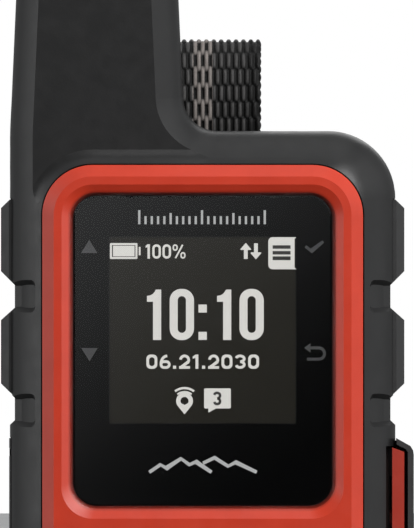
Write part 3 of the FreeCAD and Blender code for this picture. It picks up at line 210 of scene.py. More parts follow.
def moulded(name, lo, hi, rough=(0.45, 0.6), grain=4200.0, depth=0.00002, strength=0.35, spec=0.5, cloud=260.0):
    """moulded plastic or rubber: fine grain, soft colour drift and uneven gloss"""
    m, t, p = new_mat(name)
    v = coords(t)
    c = ramp(t, noise(t, v, cloud, 4.0, 0.6), [(0.3, lo), (0.7, hi)])
    t.links.new(c, p.inputs["Base Color"])
    r = maprange(t, noise(t, v, cloud * 2.3, 3.0), 0.3, 0.7, rough[0], rough[1])
    t.links.new(r, p.inputs["Roughness"])
    p.inputs["Specular IOR Level"].default_value = spec
    fine = noise(t, v, grain, 2.0, 0.6)
    t.links.new(bump(t, fine, strength, depth), p.inputs["Normal"])
    return m


def metal(name, lo, hi, rough=(0.25, 0.4), brush=(400, 400, 6000), metallic=1.0, strength=0.2):
    m, t, p = new_mat(name)
    v = coords(t, brush)
    n = noise(t, v, 1.0, 4.0, 0.6)
    t.links.new(ramp(t, n, [(0.3, lo), (0.7, hi)]), p.inputs["Base Color"])
    t.links.new(maprange(t, n, 0.3, 0.7, rough[0], rough[1]), p.inputs["Roughness"])
    p.inputs["Metallic"].default_value = metallic
    t.links.new(bump(t, n, strength, 0.00001), p.inputs["Normal"])
    return m


def emissive(name, lo, hi, strength, cell=0.1335):
    """self-lit face with a fine dot lattice: display marks, and print whose glow is painted light"""
    m, t, p = new_mat(name)
    v = coords(t, (1 / (cell * MM), 1 / (cell * MM), 1 / (cell * MM)))
    b = t.nodes.new("ShaderNodeTexChecker")
    b.inputs["Scale"].default_value = 1.0
    t.links.new(v, b.inputs["Vector"])
    c = ramp(t, b.outputs["Fac"], [(0.0, lo), (1.0, hi)])
    p.inputs["Base Color"].default_value = (0.01, 0.01, 0.01, 1)
    t.links.new(c, p.inputs["Emission Color"])
    p.inputs["Emission Strength"].default_value = strength
    p.inputs["Roughness"].default_value = 0.4
    return m


M = {}
M["case"] = moulded("case_black", (0.0088, 0.0088, 0.0090), (0.0115, 0.0115, 0.0117), rough=(0.34, 0.42), spec=0.42)
M["key"] = moulded("key_rubber", (0.015, 0.015, 0.0153), (0.020, 0.020, 0.0203), rough=(0.45, 0.56), grain=3600, spec=0.5)
M["cover"] = moulded("cover_rubber", (0.024, 0.023, 0.0235), (0.031, 0.030, 0.0305), rough=(0.46, 0.58), grain=3000, spec=0.45)
M["red"] = moulded("bezel_red", (0.50, 0.034, 0.012), (0.55, 0.040, 0.015), rough=(0.33, 0.42), grain=5200, strength=0.2, spec=0.45)


def painted_opening_shade(mat, cx, cz, hw, hh, r, reach, stops):
    """darkens a piece towards a rounded opening: painted shade at the foot of its bevel"""
    t = mat.node_tree
    p = next(n for n in t.nodes if n.type == "BSDF_PRINCIPLED")
    src = p.inputs["Base Color"].links[0].from_socket

    def vm(op, a, b=None):
        n = t.nodes.new("ShaderNodeVectorMath")
        n.operation = op
        t.links.new(a, n.inputs[0])
        if b is not None:
            n.inputs[1].default_value = b
        return n
    v = vm("SUBTRACT", coords(t), (cx * MM, 0.0, cz * MM)).outputs[0]
    v = vm("ABSOLUTE", v).outputs[0]
    v = vm("SUBTRACT", v, ((hw - r) * MM, 1.0, (hh - r) * MM)).outputs[0]
    v = vm("MAXIMUM", v, (0.0, 0.0, 0.0)).outputs[0]
    d = vm("LENGTH", v).outputs["Value"]
    k = ramp(t, maprange(t, d, r * MM, (r + reach) * MM, 0.0, 1.0), [(a_, (b_, b_, b_)) for a_, b_ in stops])
    mx = t.nodes.new("ShaderNodeMix")
    mx.data_type = "RGBA"
    mx.blend_type = "MULTIPLY"
    mx.inputs["Factor"].default_value = 1.0
    t.links.new(src, mx.inputs["A"])
    t.links.new(k, mx.inputs["B"])
    t.links.new(mx.outputs["Result"], p.inputs["Base Color"])


M["bezel"] = moulded("bezel_frame_red", (0.50, 0.034, 0.012), (0.55, 0.040, 0.015), rough=(0.33, 0.42), grain=5200, strength=0.2, spec=0.42)
# painted shade: the bezel darkens towards the window's throat, standing in for the shadow there
painted_opening_shade(M["bezel"], 0.0, 37.75, 16.25, 19.45, 2.95, 0.75, [(0.0, 0.14), (0.24, 0.25), (0.57, 0.68), (0.9, 1.0)])
M["adapter"] = moulded("anodised_black", (0.014, 0.014, 0.015), (0.02, 0.02, 0.021), rough=(0.34, 0.46), grain=8000, strength=0.15, spec=0.6)
M["steel"] = metal("steel", (0.42, 0.42, 0.43), (0.58, 0.58, 0.58))
M["dark_steel"] = metal("dark_steel", (0.10, 0.10, 0.105), (0.17, 0.17, 0.175), rough=(0.3, 0.45))
M["brass"] = metal("brass", (0.60, 0.42, 0.16), (0.74, 0.55, 0.25), rough=(0.25, 0.38))
M["copper"] = metal("copper", (0.65, 0.30, 0.16), (0.80, 0.42, 0.25))
M["alloy"] = metal("frame_alloy", (0.45, 0.45, 0.46), (0.6, 0.6, 0.6), rough=(0.4, 0.55), brush=(900, 900, 900))
M["board"] = moulded("solder_mask", (0.008, 0.07, 0.03), (0.012, 0.10, 0.045), rough=(0.3, 0.4), grain=1800)
M["chip"] = moulded("epoxy_black", (0.015, 0.015, 0.015), (0.025, 0.025, 0.025), rough=(0.5, 0.6))
M["flex"] = moulded("polyimide", (0.32, 0.14, 0.02), (0.42, 0.2, 0.04), rough=(0.25, 0.35), grain=900)
M["white"] = moulded("white_plastic", (0.62, 0.62, 0.6), (0.72, 0.72, 0.7), rough=(0.4, 0.5))
M["ceramic"] = moulded("ceramic", (0.55, 0.5, 0.42), (0.66, 0.61, 0.52), rough=(0.5, 0.65), grain=2600)
M["foil"] = moulded("cell_foil", (0.07, 0.10, 0.22), (0.10, 0.14, 0.28), rough=(0.25, 0.38), grain=700)
M["seal"] = moulded("silicone", (0.10, 0.10, 0.10), (0.15, 0.15, 0.15), rough=(0.5, 0.6))
M["foam"] = moulded("foam_black", (0.010, 0.010, 0.010), (0.02, 0.02, 0.02), rough=(0.8, 0.95), grain=1500, strength=0.6)
M["wire"] = moulded("cable_cover", (0.02, 0.02, 0.02), (0.04, 0.04, 0.04), rough=(0.4, 0.5))
M["mask"] = moulded("printed_film", (0.0005, 0.0005, 0.0006), (0.0008, 0.0008, 0.0009), rough=(0.45, 0.55), grain=9000, strength=0.05, spec=0.0)
M["panel"] = moulded("panel_edge", (0.002, 0.002, 0.002), (0.003, 0.003, 0.003), rough=(0.5, 0.6), spec=0.15)
M["label_grey"] = moulded("print_grey", (0.085, 0.085, 0.088), (0.095, 0.095, 0.098), rough=(0.5, 0.6), grain=9000, strength=0.05, spec=0.1)

# distress surround: red, with near-black painted shade in the groove beside the case
m, t, p = new_mat("surround_red")
v = coords(t)
sep = t.nodes.new("ShaderNodeSeparateXYZ")
t.links.new(v, sep.inputs[0])
red = ramp(t, noise(t, v, 260.0, 4.0, 0.6), [(0.3, (0.36, 0.026, 0.012)), (0.7, (0.41, 0.032, 0.015))])
# painted shade: near-black for x below about 23.8 mm, the groove beside the case where shadow falls
side = maprange(t, sep.outputs["X"], 23.76 * MM, 23.84 * MM, 0.0, 1.0)
groove_shade_mix = t.nodes.new("ShaderNodeMix")
groove_shade_mix.data_type = "RGBA"
groove_shade_mix.inputs["A"].default_value = (0.035, 0.010, 0.007, 1)
t.links.new(side, groove_shade_mix.inputs["Factor"])
t.links.new(red, groove_shade_mix.inputs["B"])
t.links.new(groove_shade_mix.outputs["Result"], p.inputs["Base Color"])
t.links.new(maprange(t, noise(t, v, 600.0, 3.0), 0.3, 0.7, 0.36, 0.46), p.inputs["Roughness"])
t.links.new(bump(t, noise(t, v, 5200.0, 2.0, 0.6), 0.2, 0.00002), p.inputs["Normal"])
M["surround"] = m

# clear cover window
m, t, p = new_mat("window_glass")
p.inputs["Base Color"].default_value = (0.97, 0.98, 0.98, 1)
p.inputs["Transmission Weight"].default_value = 1.0
p.inputs["IOR"].default_value = 1.46
smear = noise(t, coords(t), 90.0, 3.0)
t.links.new(maprange(t, smear, 0.3, 0.8, 0.0, 0.012), p.inputs["Roughness"])
M["glass"] = m
# light pipe
m, t, p = new_mat("light_pipe")
p.inputs["Base Color"].default_value = (0.8, 0.84, 0.82, 1)
p.inputs["Transmission Weight"].default_value = 0.6
t.links.new(maprange(t, noise(t, coords(t), 1200.0, 2.0), 0.3, 0.7, 0.25, 0.4), p.inputs["Roughness"])
M["pipe"] = m

# display ground: even dark self-lit tone with a fine cell lattice
m, t, p = new_mat("display_ground")
cell = t.nodes.new("ShaderNodeTexChecker")
cell.inputs["Scale"].default_value = 1.0
cell.inputs["Color1"].default_value = (0.0120, 0.0108, 0.0077, 1)
cell.inputs["Color2"].default_value = (0.0130, 0.0117, 0.0083, 1)
t.links.new(coords(t, (7490.0, 7490.0, 7490.0)), cell.inputs["Vector"])
t.links.new(cell.outputs["Color"], p.inputs["Emission Color"])
p.inputs["Emission Strength"].default_value = 1.0
p.inputs["Base Color"].default_value = (0.004, 0.004, 0.004, 1)
p.inputs["Roughness"].default_value = 0.5
p.inputs["Specular IOR Level"].default_value = 0.02
M["lcd"] = m
M["glyph"] = emissive("display_light", (0.66, 0.645, 0.61), (0.72, 0.70, 0.665), 1.0)
M["glyph_dark"] = emissive("display_dark", (0.0135, 0.012, 0.010), (0.0155, 0.014, 0.012), 1.0)
# print under the window made to glow: its emission is painted light in place of lamp light
M["print_painted_glow"] = emissive("print_painted_glow", (0.40, 0.40, 0.40), (0.43, 0.43, 0.43), 1.0)

NODE_MAT = {
    "front_housing": "case", "rear_housing": "case", "housing_seal": "seal", "bezel_frame": "bezel",
    "display_lens": "glass", "lens_mask": "mask", "lens_adhesive": "foam", "lcd_panel": "panel",
    "lcd_backlight": "white", "lcd_flex": "flex", "internal_frame": "alloy", "main_board": "board",
    "shield_cans": "steel", "satellite_modem": "chip", "processor_chip": "chip", "battery_connector": "white",
    "buzzer": "chip", "board_screws": "steel", "battery_pack": "foil", "battery_pad": "foam",
    "battery_leads": "wire", "satellite_antenna": "white", "antenna_arms": "copper", "antenna_feed_board": "board",
    "antenna_coax": "wire", "antenna_bracket": "white", "gps_antenna": "ceramic",
    "up_button": "key", "down_button": "key", "ok_button": "key", "back_button": "key",
    "key_flex_left": "flex", "key_flex_right": "flex", "key_switches_left": "steel", "key_switches_right": "steel",
    "power_button": "key", "power_switch": "steel", "status_light_pipe": "pipe", "sos_surround": "surround",
    "sos_button": "red", "sos_switch": "steel", "sos_hinge_pin": "dark_steel", "sos_cover": "cover", "usb_socket": "steel",
    "usb_hinge_pin": "dark_steel", "usb_cover": "cover", "housing_screws": "dark_steel", "vent_membrane": "white",
    "threaded_insert": "brass", "spine_adapter": "adapter", "strap_bar": "dark_steel", "webbing_strap": "cover",
    "adapter_screw": "steel", "screw_ring": "steel",
}
for name, ob in nodes.items():
    ob.data.materials.clear()
    ob.data.materials.append(M[NODE_MAT[name]])


# ------------------------------------------------------------ mesh helpers
def link(me, name, mat, body, smooth=False):
    o = bpy.data.objects.new(name, me)
    scene.collection.objects.link(o)
    me.materials.append(M[mat])
    for poly in me.polygons:
        poly.use_smooth = smooth
    if body:
        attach(o, body)
    return o


class Flat:
    """thin prisms between depths y0 (front) and y1, drawn in x, z millimetres"""
    def __init__(self, y0, y1):
        self.bm = bmesh.new()
        self.y0, self.y1 = y0, y1

    def poly(self, pts):
        area_ = sum(pts[i][0] * pts[(i + 1) % len(pts)][1] - pts[(i + 1) % len(pts)][0] * pts[i][1] for i in range(len(pts)))
        if area_ < 0:
            pts = pts[::-1]
        f = [self.bm.verts.new((x * MM, self.y0 * MM, z * MM)) for x, z in pts]
        b = [self.bm.verts.new((x * MM, self.y1 * MM, z * MM)) for x, z in pts]
        self.bm.faces.new(f)
        self.bm.faces.new(b[::-1])
        n = len(pts)
        for i in range(n):
            self.bm.faces.new((f[i], b[i], b[(i + 1) % n], f[(i + 1) % n]))

    def rect(self, x0, x1, z0, z1):
        self.poly([(x0, z0), (x1, z0), (x1, z1), (x0, z1)])

    def band(self, outer, inner, closed=True):
        """strip between two equally long rows of points"""
        n = len(outer)
        for i in range(n if closed else n - 1):
            j = (i + 1) % n
            self.poly([outer[i], outer[j], inner[j], inner[i]])

    def disc(self, cx, cz, r, n=28):
        self.poly([(cx + r * math.cos(2 * math.pi * k / n), cz + r * math.sin(2 * math.pi * k / n)) for k in range(n)])

    def arc(self, cx, cz, r0, r1, a0, a1, n=20):
        o = [(cx + r1 * math.cos(math.radians(a0 + (a1 - a0) * k / n)), cz + r1 * math.sin(math.radians(a0 + (a1 - a0) * k / n))) for k in range(n + 1)]
        i_ = [(cx + r0 * math.cos(math.radians(a0 + (a1 - a0) * k / n)), cz + r0 * math.sin(math.radians(a0 + (a1 - a0) * k / n))) for k in range(n + 1)]
        self.band(o, i_, closed=False)

    def stroke(self, pts, w):
        """open line of even width with square ends, mitred"""
        n = len(pts)
        L, R = [], []
        for i in range(n):
            a = pts[max(i - 1, 0)]
            b = pts[min(i + 1, n - 1)]
            d = Vector((b[0] - a[0], b[1] - a[1])).normalized()
            k = 1.0
            if 0 < i < n - 1:
                u = Vector((pts[i][0] - a[0], pts[i][1] - a[1])).normalized()
                k = 1.0 / max(0.5, u.dot(d))
            L.append((pts[i][0] - d.y * w / 2 * k, pts[i][1] + d.x * w / 2 * k))
            R.append((pts[i][0] + d.y * w / 2 * k, pts[i][1] - d.x * w / 2 * k))
        self.band(L, R, closed=False)

    def make(self, name, mat, body="case"):
        me = bpy.data.meshes.new(name)
        bmesh.ops.recalc_face_normals(self.bm, faces=self.bm.faces)
        self.bm.to_mesh(me)
        self.bm.free()
        return link(me, name, mat, body)


def X(px):
    return (px - 202.6) / 7.95


def Z(py):
    return (650.0 - py) / 7.95


def stadium(cx, cz, w, h, n=12, r=None):
    """points of an upright rounded slot"""
    r = w / 2 if r is None else r
    pts = []
    for a0, sx, sz in ((0, 1, 1), (90, -1, 1), (180, -1, -1), (270, 1, -1)):
        for k in range(n + 1):
            a = math.radians(a0 + 90 * k / n)
            pts.append((cx + sx * (w / 2 - r) + r * math.cos(a), cz + sz * (h / 2 - r) + r * math.sin(a)))
    return pts


def arc_pts(cx, cz, rx, rz, a0, a1, n=16):
    return [(cx + rx * math.cos(math.radians(a0 + (a1 - a0) * k / n)), cz + rz * math.sin(math.radians(a0 + (a1 - a0) * k / n))) for k in range(n + 1)]


def digit(g, ch, x0, z0, w, h, t):
    """one condensed character drawn with strokes t thick in a box w by h"""
    m_ = t / 2
    cx, rx = x0 + w / 2, w / 2 - m_
    zt, zb = z0 + h - m_, z0 + m_
    if ch == "0":
        g.band(stadium(cx, z0 + h / 2, w, h, 8, min(w / 2, h * 0.3)), stadium(cx, z0 + h / 2, w - 2 * t, h - 2 * t, 8))
    elif ch == "1":
        xs = x0 + w * 0.62
        g.rect(xs - m_ * 1.05, xs + m_ * 1.05, z0, z0 + h)
        g.poly([(xs - m_, z0 + h), (xs - m_, z0 + h - t * 1.2), (x0 + w * 0.04, z0 + h - t * 1.55), (x0 + w * 0.04, z0 + h - t * 0.75)])
    elif ch == "2":
        r_ = rx
        g.stroke(arc_pts(cx, zt - r_, rx, r_, 175, -28, 16) + [(x0 + m_ * 1.3, zb + 0.02)], t)
        g.rect(x0, x0 + w, z0, z0 + t)
    elif ch == "3":
        r1, r2 = (h - t) * 0.25, (h - t) * 0.25
        g.stroke(arc_pts(cx - 0.02, zt - r1, rx, r1, 165, -88, 14), t)
        g.stroke(arc_pts(cx - 0.02, zb + r2, rx, r2, 88, -165, 14), t)
    elif ch == "6":
        hz = h * 0.60
        g.band(stadium(cx, z0 + hz / 2, w, hz, 8, min(w / 2, hz / 2)), stadium(cx, z0 + hz / 2, w - 2 * t, hz - 2 * t, 8, min(w / 2 - t, hz / 2 - t)))
        g.stroke([(x0 + m_, z0 + hz * 0.5)] + arc_pts(cx + rx * 0.55, z0 + hz * 0.62, rx * 1.55, zt - z0 - hz * 0.62, 172, 92, 10), t)
    elif ch == ".":
        g.rect(x0, x0 + t * 1.15, z0, z0 + t * 1.15)
    elif ch == "%":
        rw, rh = w * 0.40, h * 0.46
        for ax_, az_ in ((x0 + rw / 2, z0 + h - rh / 2), (x0 + w - rw / 2, z0 + rh / 2)):
            g.band(stadium(ax_, az_, rw, rh, 6), stadium(ax_, az_, rw - t * 1.25, rh - t * 1.35, 6))
        g.stroke([(x0 + w * 0.22, z0 + h * 0.03), (x0 + w * 0.78, z0 + h * 0.97)], t * 0.72)


def line_of(g, text, x0, x1, z0, z1, t, gap, narrow):
    """text set from x0 to x1; narrow gives the share of a digit taken by some characters"""
    tot = sum(narrow.get(c_, 1.0) for c_ in text)
    w = (x1 - x0 - gap * (len(text) - 1)) / tot
    x = x0
    for c_ in text:
        cw = w * narrow.get(c_, 1.0)
        digit(g, c_, x, z0, cw, z1 - z0, t)
        x += cw + gap


# ---------------------------------------------------------------- display
LY0, LY1 = -7.922, -7.904       # lit marks, between the panel face and the film
g = Flat(-7.903, -7.9005)
g.rect(-11.62, 11.62, 28.68, 51.92)
g.make("display_ground", "lcd")

g = Flat(LY0, LY1)
# battery symbol
outer_b = stadium((X(110.3) + X(137.7)) / 2, (Z(242.8) + Z(258.6)) / 2, X(137.7) - X(110.3), Z(242.8) - Z(258.6), 3, 0.12)
inner_b = stadium((X(110.3) + X(137.7)) / 2, (Z(242.8) + Z(258.6)) / 2, X(137.7) - X(110.3) - 0.50, Z(242.8) - Z(258.6) - 0.50, 3, 0.05)
g.band(outer_b, inner_b)
g.rect(X(113.3), X(134.8), Z(256.0), Z(245.4))
g.rect(X(139.0), X(140.8), Z(254.9), Z(246.6))
# link arrows
for cx, up in ((245.6, True), (255.7, False)):
    w = 5.5
    if up:
        g.poly([(X(cx - w), Z(249.0)), (X(cx), Z(242.6)), (X(cx + w), Z(249.0)), (X(cx + w - 1.0), Z(249.6)), (X(cx - w + 1.0), Z(249.6))])
        g.rect(X(cx - 1.9), X(cx + 1.9), Z(258.6), Z(249.0))
    else:
        g.poly([(X(cx + w), Z(252.6)), (X(cx), Z(259.0)), (X(cx - w), Z(252.6)), (X(cx - w + 1.0), Z(252.0)), (X(cx + w - 1.0), Z(252.0))])
        g.rect(X(cx - 1.9), X(cx + 1.9), Z(252.6), Z(243.0))
# menu tab: card with rounded left corners and three bars left dark
x0, x1, zt, zb, rr = X(268.0), X(294.2), Z(236.9), Z(268.9), 0.55
card = [(x1, zb), (x1, zt)]
card += [(x0 + rr - rr * math.sin(math.radians(a)), zt - rr + rr * math.cos(math.radians(a))) for a in range(0, 91, 15)]
card += [(x0 + rr - rr * math.cos(math.radians(a)), zb + rr - rr * math.sin(math.radians(a))) for a in range(0, 91, 15)]
g.poly(card)
g.poly([(x1 - 0.02, zt), (X(296.3), zt), (x1 - 0.02, zt - 0.22)])
g.poly([(x1 - 0.02, zb), (X(296.3), zb), (x1 - 0.02, zb + 0.22)])
# clock colon
for py in (308.0, 335.2):
    g.rect(X(198.5), X(206.8), Z(py + 4.0), Z(py - 4.0))
# clock digits: one and nought, twice
for ox in (0.0, 69.8):
    one = [(153.2, 339.3), (153.2, 301.2), (147.2, 301.2), (147.2, 295.4), (150.3, 294.9), (152.8, 293.6), (154.7, 291.6), (156.0, 289.1), (161.3, 289.1), (161.3, 339.3)]
    one_l = [(X(a + ox), Z(b)) for a, b in one]
    g.poly([one_l[0], one_l[1], (one_l[9][0], one_l[1][1]), one_l[9]])
    g.poly(one_l[1:9] + [(one_l[9][0], one_l[1][1])])
for cx in (181.9, 251.4):
    g.band(stadium(X(cx), Z(313.9), 24.2 / 7.95, 51.0 / 7.95, 10, 11.4 / 7.95), stadium(X(cx), Z(313.9), 8.2 / 7.95, 36.6 / 7.95, 10))
# place pin with two waves
pc = (X(184.6), Z(400.0))
g.arc(pc[0], pc[1], 4.0 / 7.95, 8.4 / 7.95, -35, 215, 30)
tip = (X(184.6), Z(413.3))
a1, a2 = math.radians(-35), math.radians(215)
rp = 8.4 / 7.95
ri = 4.0 / 7.95
g.band([(pc[0] + rp * math.cos(a1), pc[1] + rp * math.sin(a1)), tip, (pc[0] + rp * math.cos(a2), pc[1] + rp * math.sin(a2))],
       [(pc[0] + ri * math.cos(a1), pc[1] + ri * math.sin(a1)), (pc[0], pc[1] - ri), (pc[0] + ri * math.cos(a2), pc[1] + ri * math.sin(a2))], closed=False)
wc = (X(184.6), Z(402.5))
g.arc(wc[0], wc[1], 10.6 / 7.95, 12.4 / 7.95, 52, 128, 14)
g.arc(wc[0], wc[1], 14.2 / 7.95, 16.4 / 7.95, 52, 128, 14)
# message bubble
bub = stadium((X(204.1) + X(230.7)) / 2, (Z(387.5) + Z(407.5)) / 2, X(230.7) - X(204.1), Z(387.5) - Z(407.5), 4, 0.16)
g.poly(bub)
g.poly([(X(208.3), Z(407.4)), (X(208.3), Z(411.6)), (X(216.2), Z(407.4))])
g.make("display_marks", "glyph")

g = Flat(LY0, LY1)
line_of(g, "100%", X(145.6), X(185.6), Z(258.3), Z(244.0), 0.29, 0.19, {"1": 0.62, "%": 1.5})
g.make("battery_level", "glyph")
g = Flat(LY0, LY1)
line_of(g, "06.21.2030", X(146.6), X(258.8), Z(368.0), Z(353.8), 0.34, 0.30, {"1": 0.66, ".": 0.34})
g.make("date_line", "glyph")
g = Flat(LY0 - 0.006, LY0 - 0.001)
digit(g, "3", X(212.9), Z(404.4), X(221.5) - X(212.9), Z(390.6) - Z(404.4), 0.33)
for pya, pyb in ((245.0, 248.5), (250.7, 254.2), (256.0, 259.8)):
    g.rect(X(272.3), X(290.2), Z(pyb), Z(pya))
g.make("menu_bars", "glyph_dark")

# printed marks under the window's edge
PY0, PY1 = -8.088, -8.052
g = Flat(PY0, PY1)
g.poly([(X(81.6), Z(252.7)), (X(97.8), Z(252.7)), (X(89.7), Z(239.6))])
g.poly([(X(81.8), Z(347.3)), (X(90.0), Z(360.4)), (X(98.2), Z(347.3))])
# tick mark beside the right upper key
g.stroke([(X(305.0), Z(246.0)), (X(310.8), Z(250.6)), (X(322.8), Z(241.2))], 0.36)
# turning-back arrow beside the right lower key
g.stroke([(X(309.0), Z(347.2)), (X(318.4), Z(347.2))], 0.36)
g.arc(X(318.4), Z(352.8), 5.6 / 7.95 - 0.18, 5.6 / 7.95 + 0.18, 90, -90, 14)
g.stroke([(X(318.4), Z(358.4)), (X(306.5), Z(358.4))], 0.36)
g.poly([(X(303.8), Z(347.2)), (X(310.0), Z(342.6)), (X(310.0), Z(351.8))])
g.make("key_symbols", "label_grey")

g = Flat(PY0, PY1)
# plain scale above the display
n_t = 21
for k in range(n_t):
    cx = X(139.5) + (X(264.5) - X(139.5)) * k / (n_t - 1)
    hgt = 1.75 if k % 10 == 0 else (1.4 if k % 5 == 0 else 1.0)
    g.rect(cx - 0.14, cx + 0.14, Z(224.0), Z(224.0) + hgt)
# the scale glows with painted light
g.make("top_scale", "print_painted_glow")
g = Flat(PY0, PY1)
# ridge line below the display
ridge = [(149.5, 471.0), (160.5, 463.5), (166.5, 467.0), (181.0, 457.5), (189.5, 463.5), (196.0, 460.5), (211.5, 471.0)]
g.stroke([(X(a), Z(b)) for a, b in ridge], 0.42)
ridge2 = [(203.0, 462.0), (214.5, 456.5), (228.0, 465.0), (235.5, 461.0), (256.5, 471.0)]
g.stroke([(X(a), Z(b)) for a, b in ridge2], 0.42)
# the ridge line glows with painted light
g.make("ridge_mark", "print_painted_glow")

# ------------------------------------------------------------ webbing loop
BY, BZ, TH = 15.9, 59.0, 1.3
half = [(1.1 + 0.1 + TH / 2, BZ), (2.15, 61.4), (2.95, 64.5), (3.6, 68.0), (3.7, 71.0), (3.05, 74.3), (1.7, 75.95), (0.0, 76.45)]


def hermite(pts, n_per=24):
    tg = []
    for i in range(len(pts)):
        if i == 0:
            tg.append(Vector((0.0, pts[1][1] - pts[0][1])))
        elif i == len(pts) - 1:
            tg.append(Vector((pts[i][0] - pts[i - 1][0], 0.0)) * 1.25)
        else:
            tg.append(Vector((pts[i + 1][0] - pts[i - 1][0], pts[i + 1][1] - pts[i - 1][1])) * 0.5)
    out = []
    for i in range(len(pts) - 1):
        p0, p1 = Vector(pts[i]), Vector(pts[i + 1])
        L = (p1 - p0).length
        m0 = tg[i].normalized() * L
        m1 = tg[i + 1].normalized() * L
        for k in range(n_per):
            u = k / n_per
            out.append((2 * u**3 - 3 * u**2 + 1) * p0 + (u**3 - 2 * u**2 + u) * m0 + (-2 * u**3 + 3 * u**2) * p1 + (u**3 - u**2) * m1)
    out.append(Vector(pts[-1]))
    return out


side = hermite(half)
# start at the bottom of the bar, up the front layer, over the top, down the rear layer
r0 = half[0][0]
loop = []
for k in range(25):
    a = math.radians(-90 - 90 * k / 24)
    loop.append(Vector((BY + r0 * math.cos(a), BZ + r0 * math.sin(a))))
loop += [Vector((BY - q.x, q.y)) for q in side[1:]]
loop += [Vector((BY + q.x, q.y)) for q in side[::-1][1:]]
for k in range(1, 24):
    a = math.radians(0 - 90 * k / 24)
    loop.append(Vector((BY + r0 * math.cos(a), BZ + r0 * math.sin(a))))


def resample(pts, step, closed):
    q = pts + [pts[0]] if closed else pts
    acc = [0.0]
    for a, b in zip(q[:-1], q[1:]):
        acc.append(acc[-1] + (b - a).length)
    total = acc[-1]
    n = max(8, round(total / step))
    out, i = [], 0
    for k in range(n if closed else n + 1):
        s = total * k / n
        while i < len(acc) - 2 and acc[i + 1] < s:
            i += 1
        u = (s - acc[i]) / max(1e-9, acc[i + 1] - acc[i])
        out.append(q[i].lerp(q[i + 1], u))
    return out, total


COL = 0.47
FLIP = 1.96


def weave(x, s, rows, total, closed):
    """yarn height 0..1 at place x across and s along; 1 is the crown of a float"""
    best = 0.0
    k0 = round(x / COL)
    pitch = total / rows
    for k in (k0 - 1, k0, k0 + 1):
        du = (x - k * COL) / 0.31
        if abs(du) >= 1:
            continue
        grey = abs(k) <= 2
        hl = (0.74 if grey else 0.53) * pitch
        r0_ = s / pitch
        for r in (math.floor(r0_) - 1, math.floor(r0_), math.floor(r0_) + 1, math.floor(r0_) + 2):
            if (r + k) % 2:
                continue
            dv = (s - r * pitch) / hl
            if abs(dv) >= 1:
                continue
            b = math.sqrt(1 - du * du) * (1 - abs(dv) ** 3.2) ** 0.6
            best = max(best, b)
    return best


def webbing(name, path, closed, halfw, t_out, t_in, step, deep=0.36, body="strap", top_only=False):
    pts, total = resample(path, step, closed)
    n = len(pts)
    rows = max(2, 2 * round(total / FLIP / 2))
    nx = int(round(2 * halfw / (COL / 6.0)))
    verts, tone = [], []
    for i in range(n):
        a = pts[(i - 1) % n] if closed or i > 0 else pts[0]
        b = pts[(i + 1) % n] if closed or i < n - 1 else pts[-1]
        tg = (b - a).normalized()
        nrm = Vector((-tg.y, tg.x))          # outward for the chosen direction
        s = total * i / n if closed else total * i / (n - 1)
        wave = math.cos(2 * math.pi * s / (total / rows))
        hw = halfw - 0.20 + 0.20 * abs(wave) ** 0.6
        for layer, base in ((0, t_out), (1, -t_in)):
            for j in range(nx + 1):
                x = -hw + 2 * hw * j / nx
                e = min(1.0, (hw - abs(x)) / 0.42)
                round_off = math.sqrt(max(0.0, 1 - (1 - e) ** 2))
                h = weave(x, s + (0.0 if layer == 0 else total / rows / 2), rows, total, closed)
                d = base - math.copysign(deep, base) * (1 - h)
                d *= 0.25 + 0.75 * round_off
                c = pts[i] + nrm * d
                verts.append((x * MM, c.x * MM, c.y * MM))
                tone.append(h)
    faces = []
    row = 2 * (nx + 1)
    for i in range(n if closed else n - 1):
        i2 = (i + 1) % n
        for j in range(nx):
            a = i * row + j
            b = i2 * row + j
            faces.append((a, a + 1, b + 1, b))
            a += nx + 1
            b += nx + 1
            faces.append((a, b, b + 1, a + 1))
        faces.append((i * row, i2 * row, i2 * row + nx + 1, i * row + nx + 1))
        faces.append((i * row + nx, i * row + 2 * nx + 1, i2 * row + 2 * nx + 1, i2 * row + nx))
    if not closed:
        for i in (0, n - 1):
            for j in range(nx):
                a = i * row + j
                q = (a, a + nx + 1, a + nx + 2, a + 1)
                faces.append(q if i == 0 else q[::-1])
    me = bpy.data.meshes.new(name)
    me.from_pydata(verts, [], faces)
    at = me.attributes.new("yarn", "FLOAT", "POINT")
    at.data.foreach_set("value", tone)
    bm = bmesh.new()
    bm.from_mesh(me)
    bmesh.ops.recalc_face_normals(bm, faces=bm.faces)
    bm.to_mesh(me)
    bm.free()
    me.validate()
    return link(me, name, "webbing", body, smooth=True)


# woven nylon: dark yarns with a grey centre stripe; the colour fades to near-black as the yarn dips, painted shade in
# the weave's hollows
m, t, p = new_mat("webbing_nylon")
v = coords(t)
at = t.nodes.new("ShaderNodeAttribute")
at.attribute_name = "yarn"
sep = t.nodes.new("ShaderNodeSeparateXYZ")
t.links.new(v, sep.inputs[0])
ab = t.nodes.new("ShaderNodeMath")
ab.operation = "ABSOLUTE"
t.links.new(sep.outputs["X"], ab.inputs[0])
in_stripe = t.nodes.new("ShaderNodeMath")
in_stripe.operation = "LESS_THAN"
in_stripe.inputs[1].default_value = 1.29 * MM
t.links.new(ab.outputs[0], in_stripe.inputs[0])
fibre = noise(t, coords(t, (9000.0, 900.0, 900.0)), 1.0, 3.0, 0.65)
dark = ramp(t, fibre, [(0.25, (0.024, 0.0235, 0.0235)), (0.75, (0.080, 0.077, 0.076))])
grey = ramp(t, fibre, [(0.25, (0.13, 0.114, 0.107)), (0.75, (0.26, 0.233, 0.218))])
pick = t.nodes.new("ShaderNodeMix")
pick.data_type = "RGBA"
t.links.new(in_stripe.outputs[0], pick.inputs["Factor"])
t.links.new(dark, pick.inputs["A"])
t.links.new(grey, pick.inputs["B"])
